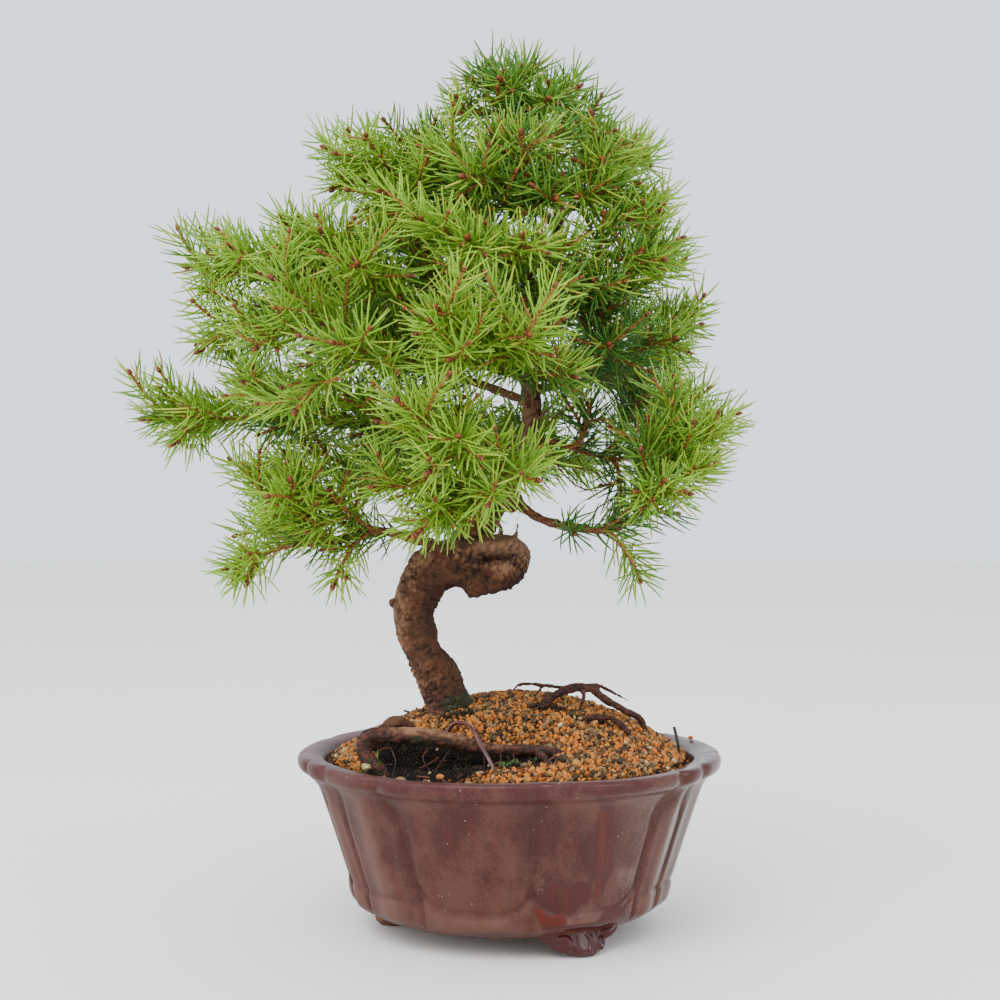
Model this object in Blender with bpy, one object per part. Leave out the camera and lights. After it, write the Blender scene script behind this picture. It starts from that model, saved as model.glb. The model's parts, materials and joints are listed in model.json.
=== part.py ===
"""A spruce bonsai in its round, three-footed glazed pot.

Lengths are in millimetres and angles in degrees, and meshes are scaled to metres when they are
made. X runs to the viewer's right, Y away from the viewer and Z up, with the pot's feet on Z = 0.
The pot's axis stands at POT_AXIS, so that the whole tree and pot are centred over the origin.
"""

import math
import random

import bmesh
import bpy
import numpy as np
from mathutils import Quaternion, Vector

MM = 0.001
POT_AXIS = Vector((27.0, 0.0, 0.0))
GAP = 0.35
SEED = 7

# Pot
FLOOR_TOP = 11.0
UNDERSIDE = 6.5
DRAIN_RADIUS = 6.5
POT_OUTSIDE = (
    (50.5, 6.5), (55.0, 8.5), (58.2, 12.0), (59.7, 17.0), (60.6, 20.5), (66.0, 37.0),
    (70.6, 51.0), (72.6, 56.0), (77.8, 58.0), (80.0, 60.6), (79.4, 63.2), (77.0, 64.0),
)
POT_INSIDE = ((71.0, 63.9), (69.4, 62.0), (68.0, 56.0), (53.0, 13.5), (48.0, 11.0))
PANEL_START = -32.4
PANEL_WIDTHS = (39.3, 41.0, 14.5, 25.2)
PANEL_SAMPLES = (3, 3, 0, 1)
BROAD_PANELS = 2
GROOVE_HALF_WIDTH = 2.4
GROOVE_SPREAD = 1.44
GROOVE_DEPTH = 1.8
PILLAR_BULGE = 1.3
PANEL_BULGE = 0.5
BULGE_FULLNESS = 0.7
RELIEF_GROWS_OVER = 6.0
RELIEF_FADES_FROM = 54.0
RELIEF_FADES_OVER = 9.0
RELIEF_ON_LIP = 0.45
BAND_TOP = 17.0
BAND_CORNER_RISE = 8.0
BAND_PROUD = 1.0
BAND_EDGE = 2.5
FOOT_ANGLES = (28.5, 148.5, 268.5)
# The feet from inside the base outwards: radius, and share of the outline's width
FOOT_SECTIONS = ((44.0, 0.8), (54.0, 1.0), (56.0, 0.86))
FOOT_OUTLINE = (
    (-13.5, 9.5), (-14.0, 7.6), (-11.5, 5.6), (-9.6, 4.6), (-8.8, 1.8), (-7.0, 0.0),
    (7.0, 0.0), (8.8, 1.8), (9.6, 4.6), (11.5, 5.6), (14.0, 7.6), (13.5, 9.5),
)

# Drainage mesh
MESH_SIDE = 18.0
MESH_CELLS = 3
MESH_BAR = 1.0
MESH_THICKNESS = 1.0

# Soil
SOIL_SIDES = 36
SOIL_RINGS = 8
SOIL_RADIUS = 68.3
SOIL_EDGE = 61.5
SOIL_RISE = 23.5
SOIL_CREST = (6.0, 14.0)
GRAVEL_RELIEF = 0.9
HOLLOW_CENTRE = (-14.0, -38.0)
HOLLOW_REACH = (28.0, 12.0)
HOLLOW_DEPTH = 10.0
# The soil's underside and wall, a gap clear of the pot and of the mesh: radius and height
SOIL_UNDERSIDE = (
    (14.0, FLOOR_TOP + 2.2), (15.5, FLOOR_TOP + GAP), (47.2, FLOOR_TOP + GAP), (52.1, 13.9), (67.1, 56.0),
)

# Tree wood: (x, y, z, radius) along each piece, from the pot's axis
TRUNK_SIDES = 9
UPPER_TRUNK_SIDES = 7
ROOT_SIDES = 5
THIN_ROOT_SIDES = 4
LOWER_TRUNK = (
    (-21, 1, 56, 5.0), (-21, 1, 64, 9.0), (-21.5, 0, 73, 10.5), (-22, 0, 81, 9.3),
    (-25, 0, 89, 8.6), (-29, 0, 97, 8.2), (-33, 0, 105, 7.8), (-36, 0, 115, 7.8),
    (-35, 0, 123, 8.2), (-31, -1, 130, 8.6), (-24, -2, 135, 9.0), (-15, -4, 136.5, 9.8),
    (-6, -5, 135.5, 11.4), (1, -5, 135, 11.0), (6, -5, 135, 8.0), (8.5, -5, 135, 4.0),
)
FOOT_RINGS = 6
UPPER_TRUNK = (
    (-7, -1, 137, 8.0), (-4.5, 1, 144, 7.2), (-2, 3, 150, 6.0), (2, 5, 160, 4.8), (7, 5, 178, 3.9),
    (9, 5, 194, 3.5), (8, 5, 209, 3.2), (8, 5, 221, 3.0), (12, 5, 236, 2.8), (16, 4, 249, 2.5),
    (19, 3, 267, 2.2), (16.5, 2.3, 281, 1.9), (14.5, 1.8, 290, 1.7),
)
FRONT_ROOT = (
    (-43, -42, 57, 1.8), (-45.5, -44.5, 64, 1.9), (-50.5, -41, 68, 2.1), (-51.5, -40, 73, 2.2),
    (-49, -40.5, 76, 2.3), (-43, -41, 76, 2.3), (-30, -42, 76, 2.3), (-20, -42, 74.5, 2.2),
    (-13, -42, 72.3, 2.2), (-4, -42.5, 71.2, 2.1), (8, -43, 71, 2.0), (17, -42.5, 69.8, 1.9),
    (21, -40, 67.3, 1.8), (21, -35, 64.6, 1.8), (16, -29, 62.6, 2.0), (6, -20, 61, 2.4),
    (-12, -6, 62, 3.2), (-20, 0, 65, 4.0),
)
FRONT_ROOT_FORK = ((9, -43, 71, 1.4), (12, -47, 68, 1.3), (13, -50, 61, 1.1))
RIGHT_ROOT = (
    (-20, 0, 68, 4.0), (-6, -5, 70, 2.8), (7, -10, 76, 2.2), (12, -8, 82, 1.7), (17, -7, 86, 1.7),
    (24, -6, 88.8, 1.7), (30.5, -6, 88.6, 1.6), (36, -6, 84.6, 1.5), (43.5, -6, 80.2, 1.4),
    (49.5, -5, 77, 1.3), (51, -5, 72, 1.1), (51.5, -5, 64, 1.0),
)
RIGHT_ROOT_FORKS = (
    ((24, -6, 88.8, 1.2), (18, -3, 90, 0.9), (9, -2, 90.6, 0.8), (4, -1, 88.5, 0.7), (2, 0, 82, 0.6)),
    ((30.5, -6, 88.6, 1.1), (37, -4, 86.8, 0.9), (44, -1, 83.5, 0.8), (47, 2, 79.5, 0.6)),
    ((27, -6, 88.4, 1.1), (26, -10, 84.5, 0.9), (25, -13, 78, 0.8)),
    ((20, -15, 74, 1.2), (27, -16, 77.4, 1.3), (37, -15, 76.6, 1.2), (42, -15, 71, 1.1),
     (43, -15, 64, 0.9)),
)
ROOT_RUN_TO_LAST_FORK = ((-20, 0, 64, 3.4), (4, -12, 68, 2.0), (20, -15, 74, 1.4))

# Leafy branches: the route of the wood from the trunk outwards, its radius at both ends, and its
# sprays, each with the share of the route at which it leaves and the place of its tip
BRANCHES = {
    "far_left": (((5, 4, 178), (-30, -8, 184), (-62, -10, 188), (-92, -6, 190)), (2.6, 1.5), (
        (1.0, (-132, -4, 192)), (0.62, (-95, -36, 202)), (0.80, (-106, 20, 206)))),
    "left_front": (((8, 3, 197), (-20, -24, 205), (-48, -38, 212), (-66, -44, 216)), (2.4, 1.4), (
        (1.0, (-94, -50, 221)), (0.72, (-82, -52, 236)), (0.55, (-59, -72, 212)), (0.82, (-73, -62, 190)))),
    "left_mid": (((9, 4, 215), (-20, -6, 226), (-52, -10, 238), (-82, -10, 243)), (2.4, 1.4), (
        (1.0, (-120, -8, 247)), (0.82, (-114, -18, 215)), (0.88, (-100, -36, 250)),
        (0.52, (-52, -62, 240)), (0.74, (-84, -14, 264)), (0.60, (-66, -44, 254)))),
    "left_rear": (((8, 7, 206), (-22, 26, 216), (-50, 42, 226), (-70, 50, 230)), (2.4, 1.4), (
        (1.0, (-100, 58, 236)), (0.72, (-84, 26, 252)), (0.66, (-60, 76, 222)), (0.45, (-40, 66, 248)))),
    "low_left_rear": (((1, 7, 161), (-26, 28, 166), (-52, 42, 170), (-74, 48, 172)), (2.4, 1.4), (
        (1.0, (-104, 48, 170)), (0.66, (-66, 76, 180)), (0.82, (-92, 28, 190)), (0.5, (-52, 20, 190)))),
    "low_left": (((-33, -3, 132), (-41, -8, 146), (-52, -12, 148), (-66, -12, 144),
                  (-80, -14, 143)), (3.0, 1.7), (
        (1.0, (-104, -16, 134)), (0.86, (-97, -20, 171)), (0.78, (-77, -46, 166)),
        (0.50, (-64, -24, 129)), (0.42, (-64, -38, 162)), (0.92, (-96, 14, 150)))),
    "front_low": (((1, 1, 157), (-8, -28, 164), (-14, -48, 172)), (2.2, 1.4), (
        (1.0, (-17, -82, 180)), (0.80, (-37, -80, 192)), (0.66, (-32, -56, 148)),
        (0.50, (-47, -50, 164)), (0.85, (9, -72, 166)))),
    "front_mid": (((8, 2, 200), (2, -28, 206), (-6, -46, 210)), (2.2, 1.4), (
        (1.0, (-20, -78, 206)), (0.80, (-24, -76, 223)), (0.66, (6, -76, 214)), (0.5, (22, -56, 202)))),
    "front_high": (((11, 3, 230), (4, -20, 236), (-4, -38, 242)), (2.0, 1.3), (
        (1.0, (-14, -66, 248)), (0.82, (-32, -62, 256)), (0.66, (5, -60, 250)), (0.45, (16, -48, 231)))),
    "right_low": (((2, 3, 160), (6, -4, 156), (13, -8, 152), (26, -12, 149), (39, -15, 149), (51, -18, 158),
                   (57, -22, 172)), (2.6, 1.5), (
        (1.0, (60, -26, 203)), (0.88, (80, -20, 186)), (0.55, (48, -16, 131)),
        (0.92, (64, 8, 178)), (0.76, (54, -48, 166)))),
    "right_mid": (((8, 7, 182), (17, 12, 182), (30, 14, 178), (44, 14, 175)), (1.8, 1.2), (
        (1.0, (68, 24, 188)), (0.80, (50, 2, 206)), (0.92, (42, 4, 156)))),
    "right_high": (((9, 7, 212), (20, 10, 211), (35, 13, 213), (48, 14, 217)), (2.0, 1.3), (
        (1.0, (74, 20, 234)), (0.82, (62, -8, 220)), (0.5, (36, -28, 216)))),
    "right_top": (((9, 4, 222), (22, -2, 230), (32, -4, 232), (44, -4, 237)), (2.0, 1.3), (
        (1.0, (67, 4, 252)), (0.72, (48, -26, 250)), (0.60, (30, -36, 238)))),
    "right_rear": (((10, 8, 202), (28, 26, 206), (46, 40, 212)), (2.2, 1.4), (
        (1.0, (70, 52, 222)), (0.68, (34, 66, 214)), (0.80, (62, 36, 192)))),
    "rear_low": (((3, 9, 168), (6, 34, 172), (8, 52, 176)), (2.2, 1.4), (
        (1.0, (10, 82, 180)), (0.66, (-26, 68, 180)), (0.74, (38, 62, 176)))),
    "rear_mid": (((9, 8, 218), (8, 32, 226), (4, 50, 232)), (2.2, 1.4), (
        (1.0, (2, 80, 238)), (0.78, (-26, 66, 252)), (0.66, (34, 58, 246)), (0.85, (4, 72, 212)))),
    "upper_left": (((15, 4, 246), (-10, 0, 258), (-34, -4, 270)), (2.0, 1.3), (
        (1.0, (-68, -12, 290)), (0.86, (-52, -28, 290)), (0.76, (-46, -44, 268)), (0.58, (-40, 8, 298)))),
    "upper_left_rear": (((16, 6, 252), (-8, 20, 262), (-26, 30, 270)), (2.0, 1.3), (
        (1.0, (-52, 42, 280)), (0.66, (-20, 52, 276)), (0.82, (-60, 26, 260)))),
    "upper_front": (((19, 2, 262), (10, -16, 268), (0, -28, 273)), (1.8, 1.2), (
        (1.0, (-16, -52, 272)), (0.80, (-31, -34, 286)), (0.5, (18, -32, 292)), (0.66, (-6, -38, 290)))),
    "upper_right": (((18, 3, 268), (28, -2, 272), (38, -4, 278)), (1.8, 1.2), (
        (1.0, (48, 2, 297)), (0.55, (33, -32, 282)), (0.80, (56, -14, 270)), (0.70, (52, 20, 270)))),
    "upper_right_rear": (((17, 4, 278), (25, 16, 284), (32, 24, 288)), (1.6, 1.2), (
        (1.0, (40, 42, 298)), (0.60, (12, 42, 292)))),
    "crown": (((14.5, 1.8, 290), (10, 0, 303), (6, 0, 313)), (1.7, 1.2), (
        (1.0, (4, 0, 317)), (0.62, (-3, -20, 314)), (0.50, (-20, -14, 303)), (0.56, (26, -6, 315)),
        (0.45, (34, 10, 305)), (0.66, (0, 24, 308)))),
}
BRANCH_SIDES = 4
COLLAR_LENGTH = 5.0
# The collars that are longer or shorter than that, since they start in the middle of the trunk
COLLAR_LENGTHS = {
    "low_left": 11.0, "crown": 1.2, "front_low": 8.0, "right_low": 5.5, "low_left_rear": 8.0,
}
STEM_BEND = 0.38
STEM_LEAVES_ALONG_WOOD = 0.6
STEM_ROOT = 1.5
STEM_STEPS = 3
TIP_STRAY = 0.5
CORE_RADIUS = 2.0
CORE_ROOT_RADIUS = 1.4
CORE_TIP_RADIUS = 0.9
CORE_TWIST = 40.0
SIDE_SHOOT_EVERY = 4
SIDE_SHOOT_LEAVES_AT = 0.45
SIDE_SHOOT_ANGLE = 48.0
SIDE_SHOOT_ROLL = 90.0
SIDE_SHOOT_STRAY = 9.0
SIDE_SHOOT_SHARE = 0.5
SIDE_SHOOT_LENGTHS = (14.0, 26.0)
SIDE_SHOOT_STEPS = 2

# Needles
NEEDLE_LENGTHS = (13.0, 16.0)
NEEDLE_RADIUS = 0.72
NEEDLE_FREE_FROM = 2.2
NEEDLE_TILTS = (62.0, 52.0, 40.0)
NEEDLE_TILT_STRAY = 10.0
NEEDLE_ROLL_STRAY = 48.0
NEEDLE_SEAT_STRAY = 1.2
TERMINAL_NEEDLE = 13.0
TRIES = 40

# Tie wires
BROWN_WIRE = (
    (-22, -34, 70), (-21.5, -36, 77), (-19, -38, 80), (-15, -42, 80), (-12.5, -46.5, 78),
    (-10.5, -50, 74.5), (-7.5, -54.5, 70), (-5.5, -57, 66), (-5, -58, 60),
)
BROWN_WIRE_RADIUS = 0.75
BLACK_WIRE = ((63.0, -12, 56), (63.2, -12, 66), (62.4, -12, 71), (61.4, -12, 75))
BLACK_WIRE_RADIUS = 0.6
WIRE_SIDES = 5


def clear_scene():
    for old in list(bpy.data.objects):
        bpy.data.objects.remove(old, do_unlink=True)


def finish_of(name, colour, roughness, metallic=0.0):
    """A Principled material in the part's own colour."""
    material = bpy.data.materials.new(name)
    material.use_nodes = True
    shader = material.node_tree.nodes["Principled BSDF"]
    shader.inputs["Base Color"].default_value = (*colour, 1.0)
    shader.inputs["Roughness"].default_value = roughness
    shader.inputs["Metallic"].default_value = metallic
    return material


def solid_object(name, shape, material=None):
    """An object in the scene from (points, faces) in millimetres."""
    points, faces = shape
    mesh = bpy.data.meshes.new(name)
    mesh.from_pydata([(Vector(p) + POT_AXIS) * MM for p in points], [], faces)
    mesh.validate()
    if material:
        mesh.materials.append(material)
    solid = bpy.data.objects.new(name, mesh)
    bpy.context.scene.collection.objects.link(solid)
    return solid


def settle(solid):
    """Replaces the object's mesh with what its modifiers make of it."""
    bpy.context.view_layer.update()
    graph = bpy.context.evaluated_depsgraph_get()
    made = bpy.data.meshes.new_from_object(solid.evaluated_get(graph))
    solid.modifiers.clear()
    solid.data = made


def combine(solid, shapes, operation):
    """Joins the shapes to the solid, or cuts them from it, in one Boolean on a collection."""
    helpers = bpy.data.collections.new(solid.name + "_helpers")
    bpy.context.scene.collection.children.link(helpers)
    for number, shape in enumerate(shapes):
        helper = solid_object(f"{solid.name}_helper_{number}", shape)
        bpy.context.scene.collection.objects.unlink(helper)
        helpers.objects.link(helper)
    boolean = solid.modifiers.new("combine", "BOOLEAN")
    boolean.operation = operation
    boolean.operand_type = "COLLECTION"
    boolean.collection = helpers
    boolean.solver = "EXACT"
    settle(solid)
    for helper in list(helpers.objects):
        bpy.data.objects.remove(helper, do_unlink=True)
    bpy.data.collections.remove(helpers)


def smooth(share):
    """A step from 0 to 1 with soft ends."""
    share = min(max(share, 0.0), 1.0)
    return share * share * (3.0 - 2.0 * share)


def rows_to_shape(rows, closed_ends=True):
    """Faces between successive rings of equal length, with flat ends."""
    points = [p for row in rows for p in row]
    count = len(rows[0])
    faces = []
    for ring in range(len(rows) - 1):
        for side in range(count):
            a, b = ring * count + side, ring * count + (side + 1) % count
            faces.append((a, b, b + count, a + count))
    if closed_ends:
        faces.append(tuple(reversed(range(count))))
        faces.append(tuple(range(len(points) - count, len(points))))
    return points, faces


def tube(route, radii, sides):
    """A tube round the route, with a radius at each of its points."""
    route = [Vector(p) for p in route]
    before = [route[0]] + route[:-1]
    after = route[1:] + [route[-1]]
    normal = (route[1] - route[0]).orthogonal().normalized()
    rows = []
    for place, behind, ahead, radius in zip(route, before, after, radii):
        tangent = (ahead - behind).normalized()
        normal = (normal - tangent * normal.dot(tangent)).normalized()
        across = tangent.cross(normal)
        turns = [2.0 * math.pi * side / sides for side in range(sides)]
        rows.append([place + (normal * math.cos(t) + across * math.sin(t)) * radius for t in turns])
    return rows_to_shape(rows)


def rod(route, radii, sides, extra=0.0):
    """A tube that extra makes thicker, and longer at both ends, to cut its own hole in the soil."""
    route = [Vector(p) for p in route]
    route[0] = route[0] - (route[1] - route[0]).normalized() * extra
    route[-1] = route[-1] + (route[-1] - route[-2]).normalized() * extra
    return tube(route, [radius + extra for radius in radii], sides)


def wood(piece, sides, extra=0.0):
    """A rod from points that carry their own radius."""
    return rod([p[:3] for p in piece], [p[3] for p in piece], sides, extra)


# The pot

def panel_edges():
    """The grooves' angles all round, from the viewer's side and growing to the right."""
    edges, angle = [], PANEL_START
    for _ in range(3):
        for width in PANEL_WIDTHS:
            edges.append(angle)
            angle += width
    return edges


def pot_angles():
    """Angles at which the pot's rings are sampled: three to a groove, a few to each panel."""
    angles = []
    for number, edge in enumerate(panel_edges()):
        width = PANEL_WIDTHS[number % len(PANEL_WIDTHS)]
        inner = PANEL_SAMPLES[number % len(PANEL_WIDTHS)]
        angles += [edge, edge + GROOVE_HALF_WIDTH]
        span = width - 2.0 * GROOVE_HALF_WIDTH
        angles += [edge + GROOVE_HALF_WIDTH + span * (k + 1) / (inner + 1) for k in range(inner)]
        angles.append(edge + width - GROOVE_HALF_WIDTH)
    return angles


def place_in_panel(angle):
    """Which panel the angle lies in, and how far across it, from 0 to 1."""
    offset = (angle - PANEL_START) % 120.0
    for number, width in enumerate(PANEL_WIDTHS):
        if offset < width:
            return number, offset / width
        offset -= width
    return 0, 0.0


def wall_relief(angle, height):
    """How far the outer wall stands proud of its turned profile at an angle and a height."""
    number, share = place_in_panel(angle)
    width = PANEL_WIDTHS[number]
    from_edge = min(share, 1.0 - share) * width
    groove = math.exp(-((from_edge / GROOVE_SPREAD) ** 2))
    broad = number < BROAD_PANELS
    arch = max(math.sin(math.pi * share), 0.0) ** BULGE_FULLNESS
    swell = (PANEL_BULGE if broad else PILLAR_BULGE) * arch
    above_base = smooth((height - UNDERSIDE) / RELIEF_GROWS_OVER)
    near_lip = smooth((height - RELIEF_FADES_FROM) / RELIEF_FADES_OVER)
    fading = 1.0 - (1.0 - RELIEF_ON_LIP) * near_lip
    relief = (swell - GROOVE_DEPTH * groove) * above_base * fading
    if broad:
        band_top = BAND_TOP + BAND_CORNER_RISE * abs(2.0 * share - 1.0) ** 5
        relief += BAND_PROUD * smooth((band_top - height) / BAND_EDGE) * above_base
    return relief


def on_pot(radius, angle, height):
    turn = math.radians(angle)
    return Vector((radius * math.sin(turn), -radius * math.cos(turn), height))


def make_pot(material):
    angles = pot_angles()
    rows = [[on_pot(DRAIN_RADIUS, a, UNDERSIDE) for a in angles]]
    rows += [[on_pot(r + wall_relief(a, z), a, z) for a in angles] for r, z in POT_OUTSIDE]
    rows += [[on_pot(r, a, z) for a in angles] for r, z in POT_INSIDE]
    rows.append([on_pot(DRAIN_RADIUS, a, FLOOR_TOP) for a in angles])
    points, faces = rows_to_shape(rows + [rows[0]], closed_ends=False)
    count = len(angles)
    total = len(rows) * count
    faces = [tuple(index % total for index in face) for face in faces]
    pot = solid_object("pot", (points[:total], faces), material)
    combine(pot, [foot_shape(angle) for angle in FOOT_ANGLES], "UNION")
    return pot


def foot_shape(angle):
    """A scroll foot: its outline drawn out from inside the base, and rounded off at the front."""
    turn = math.radians(angle)
    outwards = Vector((math.sin(turn), -math.cos(turn), 0.0))
    sideways = Vector((math.cos(turn), math.sin(turn), 0.0))
    rows = []
    for radius, width in FOOT_SECTIONS:
        ring = []
        for across, height in FOOT_OUTLINE:
            ring.append(outwards * radius + sideways * across * width + Vector((0, 0, height)))
        rows.append(ring)
    return rows_to_shape(rows)


# What is in the pot

def make_drain_mesh(material):
    """A square plastic grid over the drainage hole, with one opening to each cell."""
    grid = bmesh.new()
    bmesh.ops.create_grid(grid, x_segments=MESH_CELLS, y_segments=MESH_CELLS, size=MESH_SIDE / 2 * MM)
    inset = bmesh.ops.inset_individual(grid, faces=grid.faces[:], thickness=MESH_BAR / 2 * MM)
    rims = set(inset["faces"])
    bmesh.ops.delete(grid, geom=[face for face in grid.faces if face not in rims], context="FACES")
    walls = bmesh.ops.extrude_face_region(grid, geom=grid.faces[:])
    raised = [item for item in walls["geom"] if isinstance(item, bmesh.types.BMVert)]
    bmesh.ops.translate(grid, verts=raised, vec=(0, 0, MESH_THICKNESS * MM))
    bmesh.ops.recalc_face_normals(grid, faces=grid.faces[:])
    lift = Vector((0, 0, FLOOR_TOP + GAP)) + POT_AXIS
    bmesh.ops.translate(grid, verts=grid.verts[:], vec=lift * MM)
    mesh = bpy.data.meshes.new("drain_mesh")
    grid.to_mesh(mesh)
    grid.free()
    mesh.materials.append(material)
    solid = bpy.data.objects.new("drain_mesh", mesh)
    bpy.context.scene.collection.objects.link(solid)


def soil_height(x, y):
    """The gravel's surface: a soft mound with a hollow under the front root."""
    reach = POT_INSIDE[1][0]
    inwards = 1.0 - math.hypot(x, y) / reach
    from_crest = math.hypot(x - SOIL_CREST[0] * inwards, y - SOIL_CREST[1] * inwards) / reach
    mound = SOIL_EDGE + SOIL_RISE * (1.0 - from_crest ** 2)
    across = (x - HOLLOW_CENTRE[0]) / HOLLOW_REACH[0]
    along = (y - HOLLOW_CENTRE[1]) / HOLLOW_REACH[1]
    return mound - HOLLOW_DEPTH * math.exp(-(across ** 2) - along ** 2)


def make_soil(material, cutters):
    draw = random.Random(SEED)
    turns = [360.0 * side / SOIL_SIDES for side in range(SOIL_SIDES)]
    rows = [[on_pot(r, a, z) for a in turns] for r, z in SOIL_UNDERSIDE]
    for ring in range(SOIL_RINGS):
        radius = SOIL_RADIUS * (1.0 - ring / SOIL_RINGS)
        row = []
        for turn in turns:
            place = on_pot(radius, turn, 0.0)
            rough = draw.uniform(-GRAVEL_RELIEF, GRAVEL_RELIEF) if ring else 0.0
            place.z = soil_height(place.x, place.y) + rough
            row.append(place)
        rows.append(row)
    soil = solid_object("soil", rows_to_shape(rows), material)
    combine(soil, cutters, "DIFFERENCE")
    return soil


def wire(route, radius, extra=0.0):
    return rod(route, [radius] * len(route), WIRE_SIDES, extra)


# The tree

def along(route, share):
    """The place and direction at a share of the route's length."""
    route = [Vector(p) for p in route]
    steps = [(b - a).length for a, b in zip(route, route[1:])]
    left = share * sum(steps)
    for a, b, step in zip(route, route[1:], steps):
        if left <= step:
            return a.lerp(b, left / step), (b - a).normalized()
        left -= step
    return route[-1], (route[-1] - route[-2]).normalized()


def bent(start, leaving, tip, steps):
    """A stem that leaves along one direction and bends over to its tip."""
    reach = (tip - start).length
    heading = (tip - start).normalized()
    control = start + heading.lerp(leaving, STEM_LEAVES_ALONG_WOOD) * reach * STEM_BEND
    shares = [step / steps for step in range(steps + 1)]
    return [start * (1 - t) ** 2 + control * 2 * t * (1 - t) + tip * t * t for t in shares]


class Clearance:
    """The rods that stand so far, so that a new one can be kept clear of them."""

    def __init__(self):
        self.starts, self.ends, self.radii, self.owners = [], [], [], []

    def add(self, route, radii, owner):
        for a, b, radius in zip(route, route[1:], radii):
            self.starts.append(tuple(a))
            self.ends.append(tuple(b))
            self.radii.append(radius)
            self.owners.append(owner)

    def room(self, route, radius, besides=()):
        """The least room between the route and the rods of other owners."""
        others = np.array([owner not in besides for owner in self.owners])
        if not others.any():
            return math.inf
        starts = np.array(self.starts)[others]
        ends = np.array(self.ends)[others]
        radii = np.array(self.radii)[others]
        least = math.inf
        for a, b in zip(route, route[1:]):
            least = min(least, float((rod_distance(a, b, starts, ends) - radii).min()) - radius)
        return least


def rod_distance(a, b, starts, ends):
    """The distance from one segment to each of many."""
    a, b = np.array(a), np.array(b)
    own, other, between = b - a, ends - starts, a - starts
    own_own = float(own @ own)
    other_other = (other * other).sum(axis=1)
    own_other = other @ own
    own_between = between @ own
    other_between = (other * between).sum(axis=1)
    spread = own_own * other_other - own_other ** 2
    nearest = (own_other * other_between - other_other * own_between) / np.maximum(spread, 1e-9)
    s = np.clip(nearest, 0.0, 1.0)
    t = np.clip((own_other * s + other_between) / other_other, 0.0, 1.0)
    s = np.clip((own_other * t - own_between) / own_own, 0.0, 1.0)
    gap = between + s[:, None] * own - t[:, None] * other
    return np.sqrt((gap ** 2).sum(axis=1))


def turned(direction, tilt, roll):
    """The direction tilted away from itself, then rolled round itself."""
    sideways = direction.orthogonal().normalized()
    sideways = Quaternion(direction, math.radians(roll)) @ sideways
    return (direction * math.cos(math.radians(tilt)) + sideways * math.sin(math.radians(tilt))).normalized()


def own_rods(name):
    """The owners' names of everything that one leafy branch is made of."""
    return {name} | {f"{name} {number}" for number in range(2 * len(BRANCHES[name][2]))}


def shoots_of(name, taken):
    """The stems and side shoots of one leafy branch, kept clear of those of the other branches."""
    draw = random.Random(f"{SEED} {name}")
    route, _, sprays = BRANCHES[name]
    own = own_rods(name)
    shoots = []
    for number, (share, tip) in enumerate(sprays):
        start, heading = along(route, share)
        start -= heading * STEM_ROOT
        for attempt in range(TRIES):
            stray = TIP_STRAY * attempt
            end = Vector(tip) + Vector([draw.uniform(-stray, stray) for _ in range(3)])
            stem = bent(start, heading, end, STEM_STEPS)
            if taken.room(stem, CORE_RADIUS, own) > GAP:
                break
        else:
            raise RuntimeError(f"no room for spray {number} of {name}")
        taken.add(stem, [CORE_RADIUS] * STEM_STEPS, f"{name} {len(shoots)}")
        shoots.append(stem)
        if number % SIDE_SHOOT_EVERY:
            continue
        side = side_shoot(stem, number, draw, taken, own)
        if side:
            taken.add(side, [CORE_RADIUS] * SIDE_SHOOT_STEPS, f"{name} {len(shoots)}")
            shoots.append(side)
    return shoots


def side_shoot(stem, number, draw, taken, own):
    """A short shoot that forks off the stem, or None where there is no room for one."""
    start, heading = along(stem, SIDE_SHOOT_LEAVES_AT)
    length = sum((b - a).length for a, b in zip(stem, stem[1:])) * SIDE_SHOOT_SHARE
    length = min(max(length, SIDE_SHOOT_LENGTHS[0]), SIDE_SHOOT_LENGTHS[1])
    for attempt in range(TRIES):
        roll = SIDE_SHOOT_ROLL * number + SIDE_SHOOT_STRAY * attempt * draw.uniform(-1.0, 1.0)
        end = start + turned(heading, SIDE_SHOOT_ANGLE, roll) * length
        shoot = bent(start, heading, end, SIDE_SHOOT_STEPS)
        if taken.room(shoot, CORE_RADIUS, own) > GAP:
            return shoot
    return None


def free_needle(seat, outwards, heading, tilt, draw, taken, own):
    """The tip of a needle that stands clear of everything but its own shoot, or None."""
    for _ in range(TRIES):
        lean = math.radians(tilt + draw.uniform(-NEEDLE_TILT_STRAY, NEEDLE_TILT_STRAY))
        roll = math.radians(draw.uniform(-NEEDLE_ROLL_STRAY, NEEDLE_ROLL_STRAY))
        aside = Quaternion(heading, roll) @ outwards
        pointing = heading * math.cos(lean) + aside * math.sin(lean)
        tip = seat + pointing * draw.uniform(*NEEDLE_LENGTHS)
        base = seat + pointing * NEEDLE_FREE_FROM
        if taken.room([base, tip], NEEDLE_RADIUS, {own}) > GAP:
            taken.add([base, tip], [NEEDLE_RADIUS], "needle")
            return tip
    return None


def has_needle(ring, side, last):
    """A long stem's first stretch is bare, and a short shoot's has two needles."""
    if last == SIDE_SHOOT_STEPS:
        return ring > 0 or side > 0
    return ring > 0


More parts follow.
